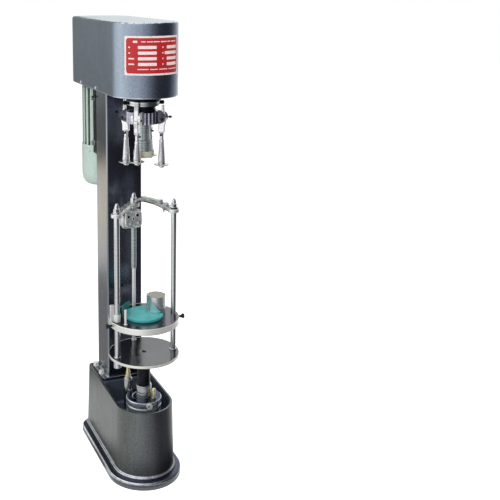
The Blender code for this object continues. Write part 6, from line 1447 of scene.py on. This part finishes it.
def bottle_table():
    """Table disc with a bright grooved rim, and the teal rubber disc with a rounded upper edge.

    The rubber's reach at angle t is its radius, or where the line at t meets the stop block's circle round B:
    B . t - sqrt((B . t)^2 - |B|^2 + room^2).
    """
    low, high = box("bottle_table")
    radius, bottom, top = high[0], low[2], high[2]
    disc = solid_of_turning(
        [(0.0, bottom), (radius - 0.0015, bottom), (radius, bottom + 0.0015), (radius, bottom + 0.0062),
         (radius - 0.0009, bottom + 0.0066), (radius - 0.0009, bottom + 0.0078), (radius, bottom + 0.0082),
         (radius, top), (radius - 0.0040, top), (radius - 0.0046, top - 0.0005), (0.0, top - 0.0005)],
        (0, 0.0006, 0.0006, 0.0003, 0.0002, 0.0002, 0.0003, 0.0026, 0.0006, 0.0003, 0), AXIS, 2 * ROUND,
    )
    piece("table_disc_turned", [disc], "table_steel", "table", ["bottle_table"])
    low, high = heights("bottle_pad")
    pad_radius, room = 0.051, STOP_BLOCK_RADIUS + 0.0003
    turn = np.linspace(0.0, TAU, 2 * ROUND, endpoint=False)
    block_at = np.array([0.039, 0.013])
    reach = block_at @ np.stack([np.cos(turn), np.sin(turn)])
    inside = reach**2 - (block_at @ block_at - room**2)
    limit = np.where((inside > 0) & (reach > 0), reach - np.sqrt(np.maximum(inside, 0.0)), pad_radius)
    limit = np.minimum(limit, pad_radius)
    profile = rounded(
        [(0.0, low), (1.0, low), (1.0, high), (0.965, high), (0.955, high - 0.0006), (0.0, high - 0.0006)],
        (0, 0.004, 0.05, 0.004, 0.004, 0), steps=5)
    x = AXIS[0] + profile[:, :1] * limit * np.cos(turn)
    y = AXIS[1] + profile[:, :1] * limit * np.sin(turn)
    points = np.stack([x, y, profile[:, 1:] + 0 * x], axis=-1)
    rubber = Surface(points, points.copy(), False, True)
    piece("rubber_disc", [rubber], "teal_rubber", "table", ["bottle_pad"])


def stop_block():
    """Round block with a notch that faces the bottle: there its radius is the notch floor's distance over the
    cosine of the turn."""
    low, high = box("stop_block")
    centre = (low + high) / 2
    radius, deep, half_deg = STOP_BLOCK_RADIUS, NOTCH_DEPTH, NOTCH_HALF_DEG
    facing = math.atan2(AXIS[1] - centre[1], AXIS[0] - centre[0])

    def notched(turn):
        off = np.mod(turn - facing + math.pi, TAU) - math.pi
        return np.where(np.abs(off) < math.radians(half_deg), (1 - deep / radius) / np.cos(off), 1.0)

    floor = low[2] + NOTCH_FLOOR
    rows = [
        (0.0, low[2], 0.0), (radius, low[2], 0.0), (radius, floor, 0.0), (radius, floor, 1.0),
        (radius, high[2], 1.0), (0.0, high[2], 0.0),
    ]
    block = turned(rounded(rows, (0, 0.0006, 0, 0, 0.0018, 0)), centre[:2], 288, shape=notched)
    piece("stop_block_turned", [block], "block_steel", "table", ["stop_block"])


def table_fittings():
    """Stop bar, clip on the left rod, nut on the rear rod, and the two thumb screws."""
    low, high = heights("stop_bar")
    bar = solid_of_turning(
        [(0.0, low), (0.0046, low), (0.0046, low + 0.002), (0.0032, low + 0.0025), (0.0032, high), (0.0, high)],
        (0, 0.0003, 0.0006, 0.0004, 0.0012, 0), middle("stop_bar")[:2], SMALL)
    piece("stop_bar_bright", [bar], "bright_plate", "table", ["stop_bar"])
    low, high = heights("left_rod_clip")
    clip = pipe(0.0077, 0.0088, low, high - 0.012, 0.0008, RODS["left"])
    lug = block_of(
        [(0.0048, 0.0036, 0.001, low + 0.0005), (0.0053, 0.0040, 0.001, low + 0.002),
         (0.0053, 0.0040, 0.001, high + 0.010), (0.0046, 0.0034, 0.001, high + 0.012)],
        0.001, RODS["left"] + (-0.0128, 0.0050))
    piece("left_clip_bright", [clip, lug], "bright_plate", "table", ["left_rod_clip"])
    low, high = heights("rear_clamp_nut")
    nut = solid_of_turning(
        [(0.0054, low), (0.0082, low), (0.0088, low + 0.001), (0.0088, high), (0.0054, high)],
        0.0006, RODS["rear"], SMALL, closed=True)
    set_at = (*(RODS["rear"] + (0.0080, -0.002)), low + 0.010)
    set_screw = laid(cap_screw(0.0028, 0.0050), set_at, (1, -0.2, 0))
    piece("rear_nut_bright", [nut, set_screw], "bright_plate", "table", ["rear_clamp_nut"])
    for name, side in (("left", -1), ("right", 1)):
        low, high = box(f"thumb_screw_{name}")
        tip = ((low if side > 0 else high)[0], *middle(f"thumb_screw_{name}")[1:])
        length = high[0] - low[0]
        shank = solid_of_turning(
            [(0, 0), (0.0030, 0), (0.0030, length - 0.0115), (0.0024, length - 0.011), (0.0024, length - 0.006),
             (0, length - 0.006)],
            0.0003, steps=24)
        head = solid_of_turning(
            [(0, length - 0.0105), (0.0036, length - 0.0105), (0.0040, length - 0.0060), (0.0065, length - 0.0045),
             (0.0065, length - 0.0006), (0.0055, length), (0, length)],
            0.0007, steps=96, shape=flutes(24, 0.05))
        piece(f"thumb_screw_{name}_knurled", [laid(shank, tip, (side, 0, 0)), laid(head, tip, (side, 0, 0))],
              "black_plastic", f"thumb_screw_{name}_body", [f"thumb_screw_{name}"])


def kept_nodes():
    """Materials of the CAD nodes that stay in view."""
    dress("black_steel", "motor_bracket", "head_plate")
    dress("pale_green", "terminal_box")
    dress("black_plastic", "cable_gland", "cooling_fan")
    dress("belt_rubber", "drive_belt")
    dress("cast_steel", "spindle_pulley", "motor_pulley")
    dress("polished_steel", "lower_bearing", "upper_bearing", "motor_shaft", "pad_stem", "pad_spring")
    dress("dark_teal", "back_stop")


# Studio

SCREEN_RADIUS = 1.7
SCREEN_TOP = 3.2
CARD_START = 0.11
CARD_HEIGHT = 0.003
# Directions in degrees, and the tint there of a screen that only reflections show
SCREEN_DEGS = (80, 90, 96, 104, 126, 143, 168, 186, 204, 222, 240, 256, 270, 284, 292, 302, 345, 358, 372, 392)
TINT_DEGS = (80, 190, 230, 284, 345, 392)
SCREEN_TINT = (
    (1.00, 1.01, 0.99), (0.98, 0.99, 1.02), (0.94, 0.95, 1.08), (0.92, 0.90, 1.15), (0.92, 0.88, 1.25), (1, 1, 1))
# Glow in hundredths at each direction, by height on the screen, and by distance on the card that lies on the floor
GLOW_FOOT = (20, 35, 80, 72, 77, 65, 55, 55, 68, 78, 70, 42, 22, 11, 9, 8, 8, 25, 60, 70)
GLOW_LOW = (20, 35, 80, 72, 77, 100, 125, 110, 105, 95, 75, 32, 12, 5, 3, 3, 4, 25, 60, 70)
GLOW_NECK = (6, 10, 16, 14, 16, 90, 125, 115, 110, 105, 95, 55, 20, 5, 3, 3, 4, 30, 70, 80)
GLOW_HEAD = (6, 12, 24, 27, 30, 95, 115, 95, 50, 40, 33, 28, 22, 10, 4.5, 3.5, 3.5, 10, 35, 60)
GLOW_TOP = (8, 14, 26, 30, 34, 100, 125, 115, 105, 100, 90, 66, 42, 20, 10, 7, 5, 12, 35, 60)
GLOW_EDGE = (20, 24, 28, 28, 28, 30, 36, 40, 36, 32, 26, 20, 16, 10, 6, 4, 3, 8, 20, 30)
GLOW_CARD = (40, 60, 76, 76, 76, 76, 68, 64, 70, 75, 72, 62, 52, 38, 26, 17, 15, 30, 60, 80)
GLOW_OUTER = (16, 20, 26, 26, 28, 50, 52, 55, 66, 78, 70, 42, 22, 11, 9, 8, 8, 20, 45, 60)


def glowing_screen(name, rows):
    """A curved screen seen only in reflections. Each row has a distance d, a height, a share of the tint and its glow
    by direction t: x = d cos t and y = d sin t from the spindle axis."""
    degs = np.linspace(SCREEN_DEGS[0], SCREEN_DEGS[-1], 121)
    angle = np.radians(degs)[None, :]
    out, height, hue = (np.array([row[i] for row in rows])[:, None] for i in (0, 1, 2))
    points = np.stack([AXIS[0] + out * np.cos(angle), AXIS[1] + out * np.sin(angle), height + 0 * angle], axis=-1)
    mesh = bpy.data.meshes.new(name)
    index = np.arange(points.shape[0] * points.shape[1]).reshape(points.shape[:2])
    mesh.from_pydata(points.reshape(-1, 3).tolist(), [], cells(index).tolist())
    tint = np.stack([np.interp(degs, TINT_DEGS, part) for part in zip(*SCREEN_TINT)], axis=-1)
    tint = 1 + hue[..., None] * (tint[None] - 1)
    level = np.stack([np.interp(degs, SCREEN_DEGS, row[3]) for row in rows]) / 100
    colours = np.concatenate([tint * level[..., None], np.ones(level.shape + (1,))], axis=-1)
    glow = mesh.attributes.new("glow", "FLOAT_COLOR", "POINT")
    glow.data.foreach_set("color", colours.ravel())
    made, tree = new_material(name)
    tree.nodes.remove(tree.nodes["Principled BSDF"])
    colour = node(tree, "Attribute", attribute_name="glow").outputs["Color"]
    shine = node(tree, "Emission", {"Color": colour, "Strength": 1.0})
    tree.links.new(shine.outputs[0], tree.nodes["Material Output"].inputs["Surface"])
    mesh.materials.append(made)
    screen = placed(name, mesh)
    for kind in ("camera", "diffuse", "shadow", "transmission"):
        setattr(screen, f"visible_{kind}", False)


def seen_directly(tree):
    """1 where a ray comes from the camera, a mirror or through glass, for a background that shows white there."""
    path = node(tree, "LightPath").outputs
    return maths(tree, "MAXIMUM", path["Is Camera Ray"],
                 maths(tree, "MAXIMUM", path["Is Glossy Ray"], path["Is Transmission Ray"]))


def studio_floor():
    """Pale floor that keeps the shadow and shows near white to the camera."""
    size = 9.0
    mesh = bpy.data.meshes.new("studio_floor")
    mesh.from_pydata([(-size, -size, 0), (size, -size, 0), (size, size, 0), (-size, size, 0)], [], [(0, 1, 2, 3)])
    made, tree = new_material("studio_floor")
    shader = tree.nodes["Principled BSDF"]
    shader.inputs["Base Color"].default_value = (0.82, 0.82, 0.82, 1.0)
    shader.inputs["Roughness"].default_value = 0.9
    shader.inputs["Specular IOR Level"].default_value = 0.1
    glow = node(tree, "Emission", {"Color": (1.0, 1.0, 1.0, 1.0), "Strength": 0.72})
    both = node(tree, "AddShader", (shader.outputs[0], glow.outputs[0]))
    mixed = node(tree, "MixShader", (seen_directly(tree), shader.outputs[0], both.outputs[0]))
    tree.links.new(mixed.outputs[0], tree.nodes["Material Output"].inputs["Surface"])
    mesh.materials.append(made)
    placed("studio_floor", mesh)


def area_light(name, at, target, size, power):
    """A soft light, square or oblong, that faces a point and that mirrors don't show."""
    data = bpy.data.lights.new(name, "AREA")
    data.shape = "RECTANGLE"
    data.size, data.size_y = size
    data.energy = power
    made = placed(name, data)
    made.location = at
    way = np.array(target, float) - np.array(at, float)
    length = np.linalg.norm(way)
    made.rotation_euler = (math.acos(-way[2] / length), 0.0, math.atan2(way[1], way[0]) - math.pi / 2)
    made.visible_glossy = False


def studio():
    """White background, soft light from the left and above, and a screen and a card that the metal reflects."""
    world = bpy.data.worlds.new("studio_world")
    bpy.context.scene.world = world
    world.use_nodes = True
    tree = world.node_tree
    background = tree.nodes["Background"]
    tree.links.new(spread(tree, seen_directly(tree), 0.0, 1.0, 0.42, 1.0), background.inputs["Strength"])
    background.inputs["Color"].default_value = (1.0, 1.0, 1.0, 1.0)
    studio_floor()
    levels = ((0.0, 0.2, GLOW_FOOT), (0.26, 0.2, GLOW_FOOT), (0.36, 0.2, GLOW_LOW), (0.47, 0.2, GLOW_LOW),
              (0.52, 0.3, GLOW_NECK), (0.70, 0.3, GLOW_NECK), (0.80, 1.0, GLOW_HEAD), (0.96, 1.0, GLOW_HEAD),
              (1.06, 0.8, GLOW_TOP), (SCREEN_TOP, 0.8, GLOW_TOP))
    glowing_screen("reflected_screen", [(SCREEN_RADIUS, *row) for row in levels])
    reaches = ((CARD_START, 0.5, GLOW_EDGE), (0.16, 0.5, GLOW_EDGE), (0.24, 0.5, GLOW_CARD), (0.56, 0.5, GLOW_CARD),
               (0.66, 0.2, GLOW_OUTER), (SCREEN_RADIUS, 0.2, GLOW_OUTER))
    glowing_screen("reflected_card", [(reach, CARD_HEIGHT, hue, glow) for reach, hue, glow in reaches])
    area_light("key_light", (-2.0, -1.6, 2.2), (0, 0, 0.7), (1.6, 1.6), 38.0)
    area_light("top_light", (0.2, -0.4, 2.9), (0, 0, 0.6), (1.8, 1.8), 26.0)
    area_light("fill_light", (2.2, -1.4, 1.4), (0, 0, 0.6), (1.4, 1.8), 10.0)


def camera():
    """Camera at the photograph's viewing angle."""
    data = bpy.data.cameras.new("camera")
    data.lens = CAMERA_LENS
    data.sensor_width = CAMERA_SENSOR
    data.shift_x, data.shift_y = CAMERA_SHIFT
    made = placed("camera", data)
    made.location = from_axis(*CAMERA_FROM_SPINDLE)
    made.rotation_euler = (math.radians(CAMERA_TILT_DEG), 0.0, math.radians(CAMERA_TURN_DEG))
    bpy.context.scene.camera = made


def build():
    """The whole dressed machine in its studio."""
    bpy.context.scene.view_settings.view_transform = "Standard"
    for part in (
        camera, studio, base_casting, column, head_cover, rating_plate, motor, bracket_bolts, bearing_housing, spindle,
        capping_hub, pressure_pad, arms, lift_guide, bowl_posts, lift_carriage, neck_yoke, neck_block, bottle_table,
        stop_block, table_fittings, kept_nodes,
    ):
        part()


build()
